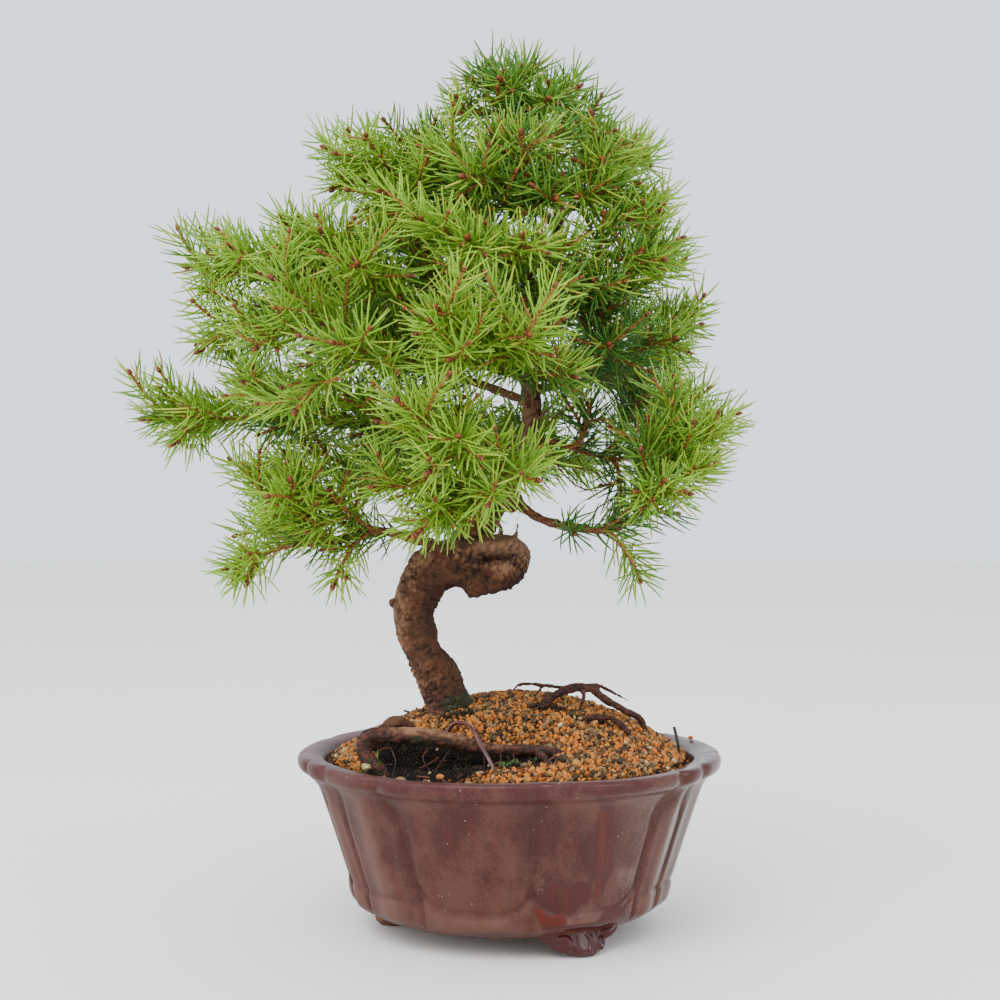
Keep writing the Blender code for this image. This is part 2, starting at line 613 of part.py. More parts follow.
def leafy_core(shoot, owner, draw, taken):
    """A slim three-sided core that twists along the shoot, with a needle drawn out of its faces.

    A needle's three-cornered foot is let into the face, so the whole shoot is one closed skin.
    One more needle ends the shoot.
    """
    last = len(shoot) - 1
    radii = [CORE_ROOT_RADIUS] + [CORE_RADIUS] * (last - 1) + [CORE_TIP_RADIUS]
    normal = (shoot[1] - shoot[0]).orthogonal().normalized()
    points, faces = [], []
    for ring, place in enumerate(shoot):
        tangent = (shoot[min(ring + 1, last)] - shoot[max(ring - 1, 0)]).normalized()
        normal = (normal - tangent * normal.dot(tangent)).normalized()
        for side in range(3):
            turn = Quaternion(tangent, math.radians(120.0 * side + CORE_TWIST * ring))
            points.append(place + (turn @ normal) * radii[ring])
    for ring in range(last):
        step = shoot[ring + 1] - shoot[ring]
        heading = step.normalized()
        tilt = NEEDLE_TILTS[max(0, ring + len(NEEDLE_TILTS) - last)]
        for side in range(3):
            a, b = 3 * ring + side, 3 * ring + (side + 1) % 3
            c, d = b + 3, a + 3
            tip = None
            if has_needle(ring, side, last):
                middle = (points[a] + points[b] + points[c] + points[d]) / 4
                axis = shoot[ring] + heading * (middle - shoot[ring]).dot(heading)
                outwards = (middle - axis).normalized()
                seat = middle + heading * draw.uniform(-NEEDLE_SEAT_STRAY, NEEDLE_SEAT_STRAY)
                tip = free_needle(seat, outwards, heading, tilt, draw, taken, owner)
            if tip is None:
                faces += [(a, b, c), (a, c, d)]
                continue
            p = len(points)
            q, r, t = p + 1, p + 2, p + 3
            for turn in (120.0, 240.0, 360.0):
                corner = Quaternion(outwards, math.radians(turn)) @ heading
                points.append(seat + corner * NEEDLE_RADIUS)
            points.append(tip)
            faces += [(a, b, q), (a, q, p), (b, c, q), (c, r, q), (c, d, r), (d, p, r), (d, a, p)]
            faces += [(p, q, t), (q, r, t), (r, p, t)]
    faces.append((2, 1, 0))
    foot = 3 * last
    points.append(shoot[-1] + (shoot[-1] - shoot[-2]).normalized() * TERMINAL_NEEDLE)
    faces += [(foot + side, foot + (side + 1) % 3, len(points) - 1) for side in range(3)]
    return points, faces


def branch_wood(name):
    """The collar that stays on the trunk, and the leafy branch's own wood a hair beyond it."""
    route, (thick, thin), _ = BRANCHES[name]
    route = [Vector(p) for p in route]
    heading = (route[1] - route[0]).normalized()
    cut = route[0] + heading * COLLAR_LENGTHS.get(name, COLLAR_LENGTH)
    radii = [thick + (thin - thick) * k / (len(route) - 1) for k in range(len(route))]
    own_route = [cut + heading * GAP] + route[1:]
    collar = tube([route[0], cut], [thick, thick], BRANCH_SIDES)
    return collar, tube(own_route, radii, BRANCH_SIDES), own_route, radii


def root_rods(extra=0.0):
    """All the surface roots and their forks."""
    thick = [wood(root, ROOT_SIDES, extra) for root in (FRONT_ROOT, RIGHT_ROOT, ROOT_RUN_TO_LAST_FORK)]
    thin = [wood(root, THIN_ROOT_SIDES, extra) for root in (FRONT_ROOT_FORK, *RIGHT_ROOT_FORKS)]
    return thick + thin


def make_tree(bark, leaf):
    taken = Clearance()
    for trunk in (LOWER_TRUNK, UPPER_TRUNK):
        taken.add([Vector(p[:3]) for p in trunk], [p[3] for p in trunk], "trunk")
    collars, own_wood = [], {}
    for name in BRANCHES:
        collar, own, route, radii = branch_wood(name)
        collars.append(collar)
        own_wood[name] = own
        taken.add(route, radii, name)
    shoots = {name: shoots_of(name, taken) for name in BRANCHES}
    for name in BRANCHES:
        for number, shoot in enumerate(shoots[name]):
            end = shoot[-1] + (shoot[-1] - shoot[-2]).normalized() * TERMINAL_NEEDLE
            taken.add([shoot[-1], end], [NEEDLE_RADIUS], f"{name} {number}")
    for name in BRANCHES:
        draw = random.Random(f"{SEED} needles {name}")
        cores = []
        for number, shoot in enumerate(shoots[name]):
            cores.append(leafy_core(shoot, f"{name} {number}", draw, taken))
        branch = solid_object(f"branch_{name}", own_wood[name], leaf)
        combine(branch, cores, "UNION")
    trunk = solid_object("trunk", wood(LOWER_TRUNK, TRUNK_SIDES), bark)
    combine(trunk, [wood(UPPER_TRUNK, UPPER_TRUNK_SIDES)] + root_rods() + collars, "UNION")


def soil_cutters():
    """The trunk's foot, the roots and the wires, each a gap wider than it is."""
    foot = wood(LOWER_TRUNK[:FOOT_RINGS], TRUNK_SIDES, GAP)
    wires = [wire(BROWN_WIRE, BROWN_WIRE_RADIUS, GAP), wire(BLACK_WIRE, BLACK_WIRE_RADIUS, GAP)]
    return [foot] + root_rods(GAP) + wires


def main():
    clear_scene()
    make_pot(finish_of("glaze", (0.16, 0.07, 0.07), 0.3))
    make_drain_mesh(finish_of("drain_plastic", (0.03, 0.03, 0.03), 0.6))
    make_soil(finish_of("gravel", (0.45, 0.25, 0.10), 0.95), soil_cutters())
    bark = finish_of("bark", (0.16, 0.08, 0.045), 0.9)
    needle_green = finish_of("needle_green", (0.20, 0.38, 0.06), 0.5)
    make_tree(bark, needle_green)
    brown = finish_of("brown_wire", (0.2, 0.06, 0.04), 0.4)
    solid_object("tie_wire_brown", wire(BROWN_WIRE, BROWN_WIRE_RADIUS), brown)
    black = finish_of("black_wire", (0.02, 0.02, 0.02), 0.5)
    solid_object("tie_wire_black", wire(BLACK_WIRE, BLACK_WIRE_RADIUS), black)


main()
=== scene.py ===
"""A spruce bonsai in its glazed pot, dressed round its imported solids.

It is laid out as an add-on and run as a script, which registers the operators and calls them in
order. Places are in millimetres from the pot's axis, X to the viewer's right, Y away and Z up,
until a mesh is made; meshes and settings are in metres.
"""

import json
import math
import random

import bmesh
import bpy
import numpy as np
from bpy.props import FloatProperty, FloatVectorProperty, IntProperty, PointerProperty
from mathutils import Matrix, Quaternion, Vector, kdtree, noise

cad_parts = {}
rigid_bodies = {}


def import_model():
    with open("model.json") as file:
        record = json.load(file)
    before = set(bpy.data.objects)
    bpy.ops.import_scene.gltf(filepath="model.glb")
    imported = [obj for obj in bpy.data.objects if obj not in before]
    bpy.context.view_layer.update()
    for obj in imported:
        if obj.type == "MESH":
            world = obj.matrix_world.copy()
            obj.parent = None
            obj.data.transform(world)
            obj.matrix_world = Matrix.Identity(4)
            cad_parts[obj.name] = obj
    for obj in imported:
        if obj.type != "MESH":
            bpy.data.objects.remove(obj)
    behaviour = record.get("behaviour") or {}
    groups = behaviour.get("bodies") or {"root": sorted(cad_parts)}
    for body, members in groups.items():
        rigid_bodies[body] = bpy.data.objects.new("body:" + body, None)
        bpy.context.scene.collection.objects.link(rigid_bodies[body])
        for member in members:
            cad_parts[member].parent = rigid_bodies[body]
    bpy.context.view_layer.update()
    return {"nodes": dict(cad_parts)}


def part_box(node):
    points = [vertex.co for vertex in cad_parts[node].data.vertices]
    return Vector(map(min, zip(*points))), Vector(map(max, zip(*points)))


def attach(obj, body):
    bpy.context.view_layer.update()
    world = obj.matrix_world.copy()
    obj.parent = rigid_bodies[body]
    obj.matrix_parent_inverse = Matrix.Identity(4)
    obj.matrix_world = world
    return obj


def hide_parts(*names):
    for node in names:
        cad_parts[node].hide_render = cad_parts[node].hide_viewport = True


bl_info = {
    "name": "Potted Spruce Bonsai",
    "version": (1, 0, 0),
    "blender": (4, 5, 0),
    "location": "View3D > Sidebar > Spruce",
    "description": "Builds a spruce bonsai in its glazed pot round the packed solids",
    "category": "Object",
}

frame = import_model()

MM = 0.001
MESH_LOW, MESH_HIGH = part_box("drain_mesh")
POT_AXIS = Vector(((MESH_LOW.x + MESH_HIGH.x) / 2, (MESH_LOW.y + MESH_HIGH.y) / 2, 0.0)) / MM
SEED = 7
# Degrees from one needle, peg or corner of a stone to the next
GOLDEN_TURN = 137.508


def paint(red, green, blue):
    """A linear colour from the 0 to 255 values that a paint chart gives."""
    shares = [value / 255.0 for value in (red, green, blue)]
    return tuple(s / 12.92 if s <= 0.04045 else ((s + 0.055) / 1.055) ** 2.4 for s in shares)


# The part's own values, which the solids are built from

POT_OUTSIDE = (
    (50.5, 6.5), (55.0, 8.5), (58.2, 12.0), (59.7, 17.0), (60.6, 20.5), (66.0, 37.0),
    (70.6, 51.0), (72.6, 56.0), (77.8, 58.0), (80.0, 60.6), (79.4, 63.2), (77.0, 64.0),
)
POT_INSIDE = ((71.0, 63.9), (69.4, 62.0), (68.0, 56.0), (53.0, 13.5), (48.0, 11.0))
FLOOR_TOP = 11.0
UNDERSIDE = 6.5
DRAIN_RADIUS = 6.5
PANEL_START = -32.4
PANEL_WIDTHS = (39.3, 41.0, 14.5, 25.2)
BROAD_PANELS = 2
GROOVE_SPREAD = 1.44
GROOVE_DEPTH = 1.8
PILLAR_BULGE = 1.3
PANEL_BULGE = 0.5
BULGE_FULLNESS = 0.7
RELIEF_GROWS_OVER = 6.0
RELIEF_FADES_FROM = 54.0
RELIEF_FADES_OVER = 9.0
RELIEF_ON_LIP = 0.45
BAND_TOP = 17.0
BAND_CORNER_RISE = 8.0
BAND_PROUD = 1.0
BAND_EDGE = 2.5
FOOT_ANGLES = (28.5, 148.5, 268.5)

SOIL_RADIUS = 68.3
SOIL_EDGE = 61.5
SOIL_RISE = 23.5
SOIL_CREST = (6.0, 14.0)
HOLLOW_CENTRE = (-14.0, -38.0)
HOLLOW_REACH = (28.0, 12.0)
HOLLOW_DEPTH = 10.0

LOWER_TRUNK = (
    (-21, 1, 56, 5.0), (-21, 1, 64, 9.0), (-21.5, 0, 73, 10.5), (-22, 0, 81, 9.3),
    (-25, 0, 89, 8.6), (-29, 0, 97, 8.2), (-33, 0, 105, 7.8), (-36, 0, 115, 7.8),
    (-35, 0, 123, 8.2), (-31, -1, 130, 8.6), (-24, -2, 135, 9.0), (-15, -4, 136.5, 9.8),
    (-6, -5, 135.5, 11.4), (1, -5, 135, 11.0), (6, -5, 135, 8.0), (8.5, -5, 135, 4.0),
)
UPPER_TRUNK = (
    (-7, -1, 137, 8.0), (-4.5, 1, 144, 7.2), (-2, 3, 150, 6.0), (2, 5, 160, 4.8), (7, 5, 178, 3.9),
    (9, 5, 194, 3.5), (8, 5, 209, 3.2), (8, 5, 221, 3.0), (12, 5, 236, 2.8), (16, 4, 249, 2.5),
    (19, 3, 267, 2.2), (16.5, 2.3, 281, 1.9), (14.5, 1.8, 290, 1.7),
)
FRONT_ROOT = (
    (-43, -42, 57, 1.8), (-45.5, -44.5, 64, 1.9), (-50.5, -41, 68, 2.1), (-51.5, -40, 73, 2.2),
    (-49, -40.5, 76, 2.3), (-43, -41, 76, 2.3), (-30, -42, 76, 2.3), (-20, -42, 74.5, 2.2),
    (-13, -42, 72.3, 2.2), (-4, -42.5, 71.2, 2.1), (8, -43, 71, 2.0), (17, -42.5, 69.8, 1.9),
    (21, -40, 67.3, 1.8), (21, -35, 64.6, 1.8), (16, -29, 62.6, 2.0), (6, -20, 61, 2.4),
    (-12, -6, 62, 3.2), (-20, 0, 65, 4.0),
)
FRONT_ROOT_FORK = ((9, -43, 71, 1.4), (12, -47, 68, 1.3), (13, -50, 61, 1.1))
RIGHT_ROOT = (
    (-20, 0, 68, 4.0), (-6, -5, 70, 2.8), (7, -10, 76, 2.2), (12, -8, 82, 1.7), (17, -7, 86, 1.7),
    (24, -6, 88.8, 1.7), (30.5, -6, 88.6, 1.6), (36, -6, 84.6, 1.5), (43.5, -6, 80.2, 1.4),
    (49.5, -5, 77, 1.3), (51, -5, 72, 1.1), (51.5, -5, 64, 1.0),
)
ROOT_RUN_TO_LAST_FORK = ((-20, 0, 64, 3.4), (4, -12, 68, 2.0), (20, -15, 74, 1.4))

# Each leafy branch: its wood's route from the trunk, its radius at both ends, and its sprays as
# (share of the route at which one leaves, place of its tip)
BRANCHES = {
    "far_left": (((5, 4, 178), (-30, -8, 184), (-62, -10, 188), (-92, -6, 190)), (2.6, 1.5), (
        (1.0, (-132, -4, 192)), (0.62, (-95, -36, 202)), (0.80, (-106, 20, 206)))),
    "left_front": (((8, 3, 197), (-20, -24, 205), (-48, -38, 212), (-66, -44, 216)), (2.4, 1.4), (
        (1.0, (-94, -50, 221)), (0.72, (-82, -52, 236)), (0.55, (-59, -72, 212)), (0.82, (-73, -62, 190)))),
    "left_mid": (((9, 4, 215), (-20, -6, 226), (-52, -10, 238), (-82, -10, 243)), (2.4, 1.4), (
        (1.0, (-120, -8, 247)), (0.82, (-114, -18, 215)), (0.88, (-100, -36, 250)),
        (0.52, (-52, -62, 240)), (0.74, (-84, -14, 264)), (0.60, (-66, -44, 254)))),
    "left_rear": (((8, 7, 206), (-22, 26, 216), (-50, 42, 226), (-70, 50, 230)), (2.4, 1.4), (
        (1.0, (-100, 58, 236)), (0.72, (-84, 26, 252)), (0.66, (-60, 76, 222)), (0.45, (-40, 66, 248)))),
    "low_left_rear": (((1, 7, 161), (-26, 28, 166), (-52, 42, 170), (-74, 48, 172)), (2.4, 1.4), (
        (1.0, (-104, 48, 170)), (0.66, (-66, 76, 180)), (0.82, (-92, 28, 190)), (0.5, (-52, 20, 190)))),
    "low_left": (((-33, -3, 132), (-41, -8, 146), (-52, -12, 148), (-66, -12, 144),
                  (-80, -14, 143)), (3.0, 1.7), (
        (1.0, (-104, -16, 134)), (0.86, (-97, -20, 171)), (0.78, (-77, -46, 166)),
        (0.50, (-64, -24, 129)), (0.42, (-64, -38, 162)), (0.92, (-96, 14, 150)))),
    "front_low": (((1, 1, 157), (-8, -28, 164), (-14, -48, 172)), (2.2, 1.4), (
        (1.0, (-17, -82, 180)), (0.80, (-37, -80, 192)), (0.66, (-32, -56, 148)),
        (0.50, (-47, -50, 164)), (0.85, (9, -72, 166)))),
    "front_mid": (((8, 2, 200), (2, -28, 206), (-6, -46, 210)), (2.2, 1.4), (
        (1.0, (-20, -78, 206)), (0.80, (-24, -76, 223)), (0.66, (6, -76, 214)), (0.5, (22, -56, 202)))),
    "front_high": (((11, 3, 230), (4, -20, 236), (-4, -38, 242)), (2.0, 1.3), (
        (1.0, (-14, -66, 248)), (0.82, (-32, -62, 256)), (0.66, (5, -60, 250)), (0.45, (16, -48, 231)))),
    "right_low": (((2, 3, 160), (6, -4, 156), (13, -8, 152), (26, -12, 149), (39, -15, 149), (51, -18, 158),
                   (57, -22, 172)), (2.6, 1.5), (
        (1.0, (60, -26, 203)), (0.88, (80, -20, 186)), (0.55, (48, -16, 131)),
        (0.92, (64, 8, 178)), (0.76, (54, -48, 166)))),
    "right_mid": (((8, 7, 182), (17, 12, 182), (30, 14, 178), (44, 14, 175)), (1.8, 1.2), (
        (1.0, (68, 24, 188)), (0.80, (50, 2, 206)), (0.92, (42, 4, 156)))),
    "right_high": (((9, 7, 212), (20, 10, 211), (35, 13, 213), (48, 14, 217)), (2.0, 1.3), (
        (1.0, (74, 20, 234)), (0.82, (62, -8, 220)), (0.5, (36, -28, 216)))),
    "right_top": (((9, 4, 222), (22, -2, 230), (32, -4, 232), (44, -4, 237)), (2.0, 1.3), (
        (1.0, (67, 4, 252)), (0.72, (48, -26, 250)), (0.60, (30, -36, 238)))),
    "right_rear": (((10, 8, 202), (28, 26, 206), (46, 40, 212)), (2.2, 1.4), (
        (1.0, (70, 52, 222)), (0.68, (34, 66, 214)), (0.80, (62, 36, 192)))),
    "rear_low": (((3, 9, 168), (6, 34, 172), (8, 52, 176)), (2.2, 1.4), (
        (1.0, (10, 82, 180)), (0.66, (-26, 68, 180)), (0.74, (38, 62, 176)))),
    "rear_mid": (((9, 8, 218), (8, 32, 226), (4, 50, 232)), (2.2, 1.4), (
        (1.0, (2, 80, 238)), (0.78, (-26, 66, 252)), (0.66, (34, 58, 246)), (0.85, (4, 72, 212)))),
    "upper_left": (((15, 4, 246), (-10, 0, 258), (-34, -4, 270)), (2.0, 1.3), (
        (1.0, (-68, -12, 290)), (0.86, (-52, -28, 290)), (0.76, (-46, -44, 268)), (0.58, (-40, 8, 298)))),
    "upper_left_rear": (((16, 6, 252), (-8, 20, 262), (-26, 30, 270)), (2.0, 1.3), (
        (1.0, (-52, 42, 280)), (0.66, (-20, 52, 276)), (0.82, (-60, 26, 260)))),
    "upper_front": (((19, 2, 262), (10, -16, 268), (0, -28, 273)), (1.8, 1.2), (
        (1.0, (-16, -52, 272)), (0.80, (-31, -34, 286)), (0.5, (18, -32, 292)), (0.66, (-6, -38, 290)))),
    "upper_right": (((18, 3, 268), (28, -2, 272), (38, -4, 278)), (1.8, 1.2), (
        (1.0, (48, 2, 297)), (0.55, (33, -32, 282)), (0.80, (56, -14, 270)), (0.70, (52, 20, 270)))),
    "upper_right_rear": (((17, 4, 278), (25, 16, 284), (32, 24, 288)), (1.6, 1.2), (
        (1.0, (40, 42, 298)), (0.60, (12, 42, 292)))),
    "crown": (((14.5, 1.8, 290), (10, 0, 303), (6, 0, 313)), (1.7, 1.2), (
        (1.0, (4, 0, 317)), (0.62, (-3, -20, 314)), (0.50, (-20, -14, 303)), (0.56, (26, -6, 315)),
        (0.45, (34, 10, 305)), (0.66, (0, 24, 308)))),
}
GAP = 0.35
COLLAR_LENGTH = 5.0
COLLAR_LENGTHS = {
    "low_left": 11.0, "crown": 1.2, "front_low": 8.0, "right_low": 5.5, "low_left_rear": 8.0,
}
STEM_BEND = 0.38
STEM_LEAVES_ALONG_WOOD = 0.6
STEM_ROOT = 1.5
STEM_STEPS = 3
TIP_STRAY = 0.5
CORE_RADIUS = 2.0
SIDE_SHOOT_EVERY = 4
SIDE_SHOOT_LEAVES_AT = 0.45
SIDE_SHOOT_ANGLE = 48.0
SIDE_SHOOT_ROLL = 90.0
SIDE_SHOOT_STRAY = 9.0
SIDE_SHOOT_SHARE = 0.5
SIDE_SHOOT_LENGTHS = (14.0, 26.0)
SIDE_SHOOT_STEPS = 2
TRIES = 40

BROWN_WIRE = (
    (-22, -34, 70), (-21.5, -36, 77), (-19, -38, 80), (-15, -42, 80), (-12.5, -46.5, 78),
    (-10.5, -50, 74.5), (-7.5, -54.5, 70), (-5.5, -57, 66), (-5, -58, 60),
)
BROWN_WIRE_RADIUS = 0.75
BLACK_WIRE = ((63.0, -12, 56), (63.2, -12, 66), (62.4, -12, 71), (61.4, -12, 75))
BLACK_WIRE_RADIUS = 0.6

# What only the looks have, from here on. The old twigs that carry no needles: (x, y, z, radius)
BARE_TWIGS = (
    ((8, 4, 188, 0.9), (12, 1, 191, 0.7), (17, -2, 196, 0.6), (20, -3, 199, 0.7)),
    ((8, 4, 204, 1.0), (14, 0, 206, 0.8), (20, -2, 207, 0.8), (25.5, -3, 209, 0.9)),
    ((16, 11, 182, 0.8), (18, 8, 174, 0.6), (25, 4, 165.5, 0.55), (33, 0, 163, 0.5), (40, -6, 166, 0.4)),
    ((0, -7, 143.0, 0.8), (2.2, -8, 145.6, 0.55), (3.2, -9, 149.5, 0.45), (2.8, -10, 153.5, 0.4)),
    ((-41, -2, 121.2, 1.1), (-44.0, -2.4, 120.6, 1.7), (-45.4, -2.6, 120.3, 1.4)),
    ((-6, -6, 143, 1.2), (-3, -9, 148, 0.9), (-6, -12, 153, 0.8), (-11, -15, 156, 0.7)),
)
# The trunk above its bend as it is seen, up to where it meets its solid again
SEEN_NECK = (
    (-16, -2, 137, 8.0), (-14.5, 0, 144, 7.2), (-10.5, 3, 151, 6.2), (-4, 5, 161, 5.1), (2, 5, 170, 4.4),
    (6.5, 5, 181, 3.9),
)
# Knobs and hollows of the trunk: centre, reach, height
KNOBS = (
    ((-13, -5, 125.5), 4.6, 4.0), ((-36, -2, 137.5), 6.0, 1.6), ((-16.5, -3, 97), 3.4, 1.0),
    ((-1.6, -16.4, 135.9), 1.8, 3.2), ((-8, -15, 129), 2.8, 1.6), ((6, -8, 143), 4.5, 0.4),
    ((2, -12, 144), 3.6, 1.8), ((9, -8, 135), 5.0, -0.9), ((6, -5, 124.5), 7.5, -4.6),
    ((-19, -12, 133), 3.5, -1.4), ((-13, -12.5, 129), 3.0, -1.2), ((-23.5, 0, 104.5), 5.5, -2.3),
    ((-15, 0, 89), 4.5, -1.8), ((-13, 0, 79), 5.0, -1.0), ((-24, -10.5, 91), 2.4, -1.2),
    ((-33, -7, 104), 2.6, -0.8), ((-21, -9, 98), 2.2, -1.0),
)
# Creases in the trunk, and rolls where the depth is negative: start, end, reach, depth
CREASES = (
    ((-19.5, -12.5, 137), (-9, -15.6, 138.4), 1.7, 1.0), ((-9, -15.6, 138.4), (0.5, -16.2, 139.6), 1.8, 3.8),
    ((0.5, -16.2, 139.6), (3.5, -13.5, 143.5), 1.5, 2.0), ((-15, -11.5, 142.6), (-2, -14, 143), 2.3, -1.6),
    ((3.5, -14.5, 138), (1.5, -15.5, 133.5), 1.4, 1.3), ((-24.5, -9, 108), (-22.5, -9.5, 96), 1.5, 1.2),
    ((-20, -9, 92), (-13, -8, 86), 2.0, 1.0), ((-14, -14, 134), (-9, -15, 131), 1.6, 1.2),
)
# The round scars of lost branches: centre, radius
SCARS = (((-29.9, -8.6, 117.3), 1.8), ((-27.0, 7.6, 108.0), 2.1), ((-20.0, 3.0, 146.0), 1.9))
# Where the wood of a branch is seen to run otherwise than in its solid
SEEN_ROUTES = {
    "low_left": ((-22, -7, 139), (-31, -9.5, 143.5), (-42, -11, 147), (-52, -12, 148), (-66, -12, 144),
                 (-80, -14, 143)),
}
# The lip as it is seen, softer than its solid
SEEN_LIP = (
    (70.6, 51.0), (72.1, 54.8), (74.2, 57.4), (76.9, 59.0), (78.5, 60.3), (79.2, 62.0), (79.1, 63.7),
    (78.4, 64.7), (77.0, 65.0), (75.4, 64.9),
)
# The grooves at the left edge of the broad panels, between them, at their right edge and between
# the pillars: depth, spread and how crisp each one is
GROOVES = ((0.8, 1.0, 1.15, 0.75), (1.0, 1.1, 0.85, 0.9), (0.2, 0.1, 0.55, 0.3))
GROOVES_LEAN = 4.3
# Single stones: x, y, width, tone, and how far above the soil
STONES = (
    (-37.9, -56.0, 5.2, 0.8, 0.4), (-50.6, -46.0, 3.4, 0.99, 0.6), (18.5, -50.5, 4.0, 0.9, 0.6),
    (-29.0, -60.5, 3.0, 0.7, 0.4), (-24.0, -59.0, 2.6, 0.3, 0.4), (-44.0, -50.0, 2.4, 0.2, 0.5),
    (72.0, 24.0, 2.3, 0.3, 0.0), (-10.0, -60.0, 2.6, 0.82, 0.3), (5.0, -56.0, 3.0, 0.7, 0.4),
)
# Where thin roots are seen to run
SEEN_FORKS = (
    ((24, -6, 88.2, 1.2), (18, -3, 88.8, 0.9), (9, -2, 89.8, 0.75), (4, -1, 89.4, 0.65), (1.5, 0, 87, 0.5)),
    ((13, -2, 89.6, 0.7), (11.5, -3, 87.5, 0.6), (9.5, -4, 85.5, 0.5)),
    ((28, -6, 89.3, 1.0), (33, -5, 89.8, 0.8), (38, -3, 87.4, 0.7), (47, 0, 82.3, 0.45)),
    ((9, -43.5, 71.2, 1.4), (10, -48.5, 71, 1.4), (12, -52.5, 69.6, 1.3), (14.5, -55.5, 66, 1.2)),
    ((27, -6, 88.6, 1.0), (28, -8, 86, 0.8), (27, -10, 83, 0.7), (25, -13, 78, 0.7)),
    ((20, -15, 74, 1.2), (27, -17, 78.2, 1.4), (36, -18, 79.4, 1.4), (40, -19.5, 77.6, 1.3),
     (43.5, -21, 74, 1.1), (46, -21, 68, 0.9)),
)
# Shoots that only the looks have: (share of the branch's wood at which one leaves, its tip)
FILLERS = {
    "far_left": ((0.4, (-58, -34, 196)), (0.3, (-34, -34, 198)), (0.95, (-137, -6, 190))),
    "left_front": ((0.4, (-48, -30, 226)),),
    "left_mid": ((0.3, (-30, -40, 248)), (0.3, (-36, -14, 262))),
    "left_rear": ((0.6, (-62, 50, 252)),),
    "low_left_rear": ((0.4, (-44, 56, 190)),),
    "low_left": ((0.7, (-80, -30, 172)),),
    "front_low": ((0.5, (-22, -52, 188)), (0.7, (-14, -52, 153)), (0.5, (-25, -46, 150))),
    "front_mid": ((0.6, (-22, -56, 226)),),
    "front_high": ((0.5, (22, -44, 250)),),
    "right_low": ((0.8, (74, -30, 172)), (0.95, (76, -6, 192)), (0.7, (50, -30, 188))),
    "right_mid": ((0.4, (30, -6, 196)),),
    "right_high": ((0.4, (34, -16, 232)),),
    "right_top": ((0.4, (34, -30, 262)), (0.7, (56, -16, 266))),
    "right_rear": ((0.5, (48, 42, 234)), (0.9, (60, 58, 206))),
    "rear_low": ((0.5, (12, 60, 196)), (0.8, (-8, 78, 194))),
    "rear_mid": ((0.5, (-4, 56, 258)), (0.8, (24, 70, 232))),
    "upper_left": ((0.4, (-22, -30, 280)), (0.6, (-34, -8, 296))),
    "upper_left_rear": ((0.5, (-14, 40, 288)),),
    "upper_front": ((0.5, (4, -46, 288)), (0.3, (-12, -40, 262)), (0.4, (16, -42, 266))),
    "upper_right": ((0.3, (24, -36, 268)), (0.7, (44, -24, 262)), (0.5, (30, -24, 300))),
    "upper_right_rear": ((0.6, (34, 30, 306)),),
    "crown": ((0.5, (14, -24, 306)), (0.5, (18, 12, 318)), (0.6, (-15, -6, 318))),
}
# Spots of painted shadow where a root or the trunk shades the gravel, with fewer and smaller grains over dark
# soil: x, y, and their reach along both
SHADOW_SPOTS = ((30, -17, 9, 4), (14, -11, 9, 5), (-18, -13, 7, 3))
# A worn stump beside the front root: (x, y, z, radius) along it
STUMP = ((-49, -38, 71, 2.2), (-45, -34, 76, 3.0), (-40.5, -31, 78.6, 3.1), (-35.5, -29, 76.5, 2.4))
# Outlines of what the glaze did where it ran, as (angle, height) round the pot's front
GLAZE_RUNS = {
    "red": (
        ((7.5, 21), (10, 19.5), (13.5, 17.6), (18.5, 16.8), (18.5, 13.5), (16.5, 11.3), (14, 10.1),
         (10.5, 12.6), (8.5, 16.5)),
        ((24.5, 53.9), (27, 53.6), (29, 44), (30, 33), (30, 22.8), (29, 20.3), (27, 21), (28, 30),
         (26.5, 38)),
        ((12.4, 29), (14.5, 30.4), (15, 26), (14, 20.5), (12.4, 20.5), (12.6, 25)),
        ((37.5, 17.9), (42, 19.1), (46, 20.1), (46.5, 17.4), (43, 16.8)),
    ),
    "pool": (
        ((5.5, 24.5), (7.5, 25.2), (10, 22.5), (11.5, 22.5), (12, 27.6), (14.5, 30.6), (16, 24), (19.5, 28.2),
         (22, 29.3), (26, 27.9), (27.5, 25.8), (28, 21.2), (26, 19.2), (23.5, 18.8), (21, 14.9), (18.5, 17),
         (13.5, 17.7), (10, 20.1), (7.5, 22.2)),
        ((29.5, 12.6), (31.5, 15.3), (34, 17.7), (42, 19.1), (46, 20.1), (46.5, 17.4), (43, 16.8),
         (42.5, 13.5), (45, 9), (36, 8.9), (22.5, 9.8), (19, 10.6), (23.5, 12.6)),
        ((15, 62), (17.5, 63.2), (39, 63.2), (38.5, 61), (31, 59.8), (22.5, 60.4)),
        ((15, 60), (20, 60.5), (25, 54.8), (24, 44), (25, 35.6), (31, 22), (34, 30), (31, 50), (28, 58),
         (22, 62)),
    ),
    "pale": (
        ((34.5, 30.8), (37.5, 32), (44.5, 30.6), (45.5, 26), (44.5, 23.1), (41.5, 22.1), (38, 23.1),
         (36, 25.8)),
        ((22.5, 18), (25, 18.9), (28.5, 19.7), (29, 17.6), (27, 16.1), (23.5, 14.9)),
        ((7.5, 30.5), (8, 33.2), (11.6, 29.6), (11, 25.8), (10.2, 23), (8, 25.4)),
        ((58, 40.4), (62, 37.8), (63.5, 34.2), (59.5, 35.6)),
    ),
}
# How far the left foot stands in from its solid
LEFT_FOOT_SHIFT = (8.0, -4.5)
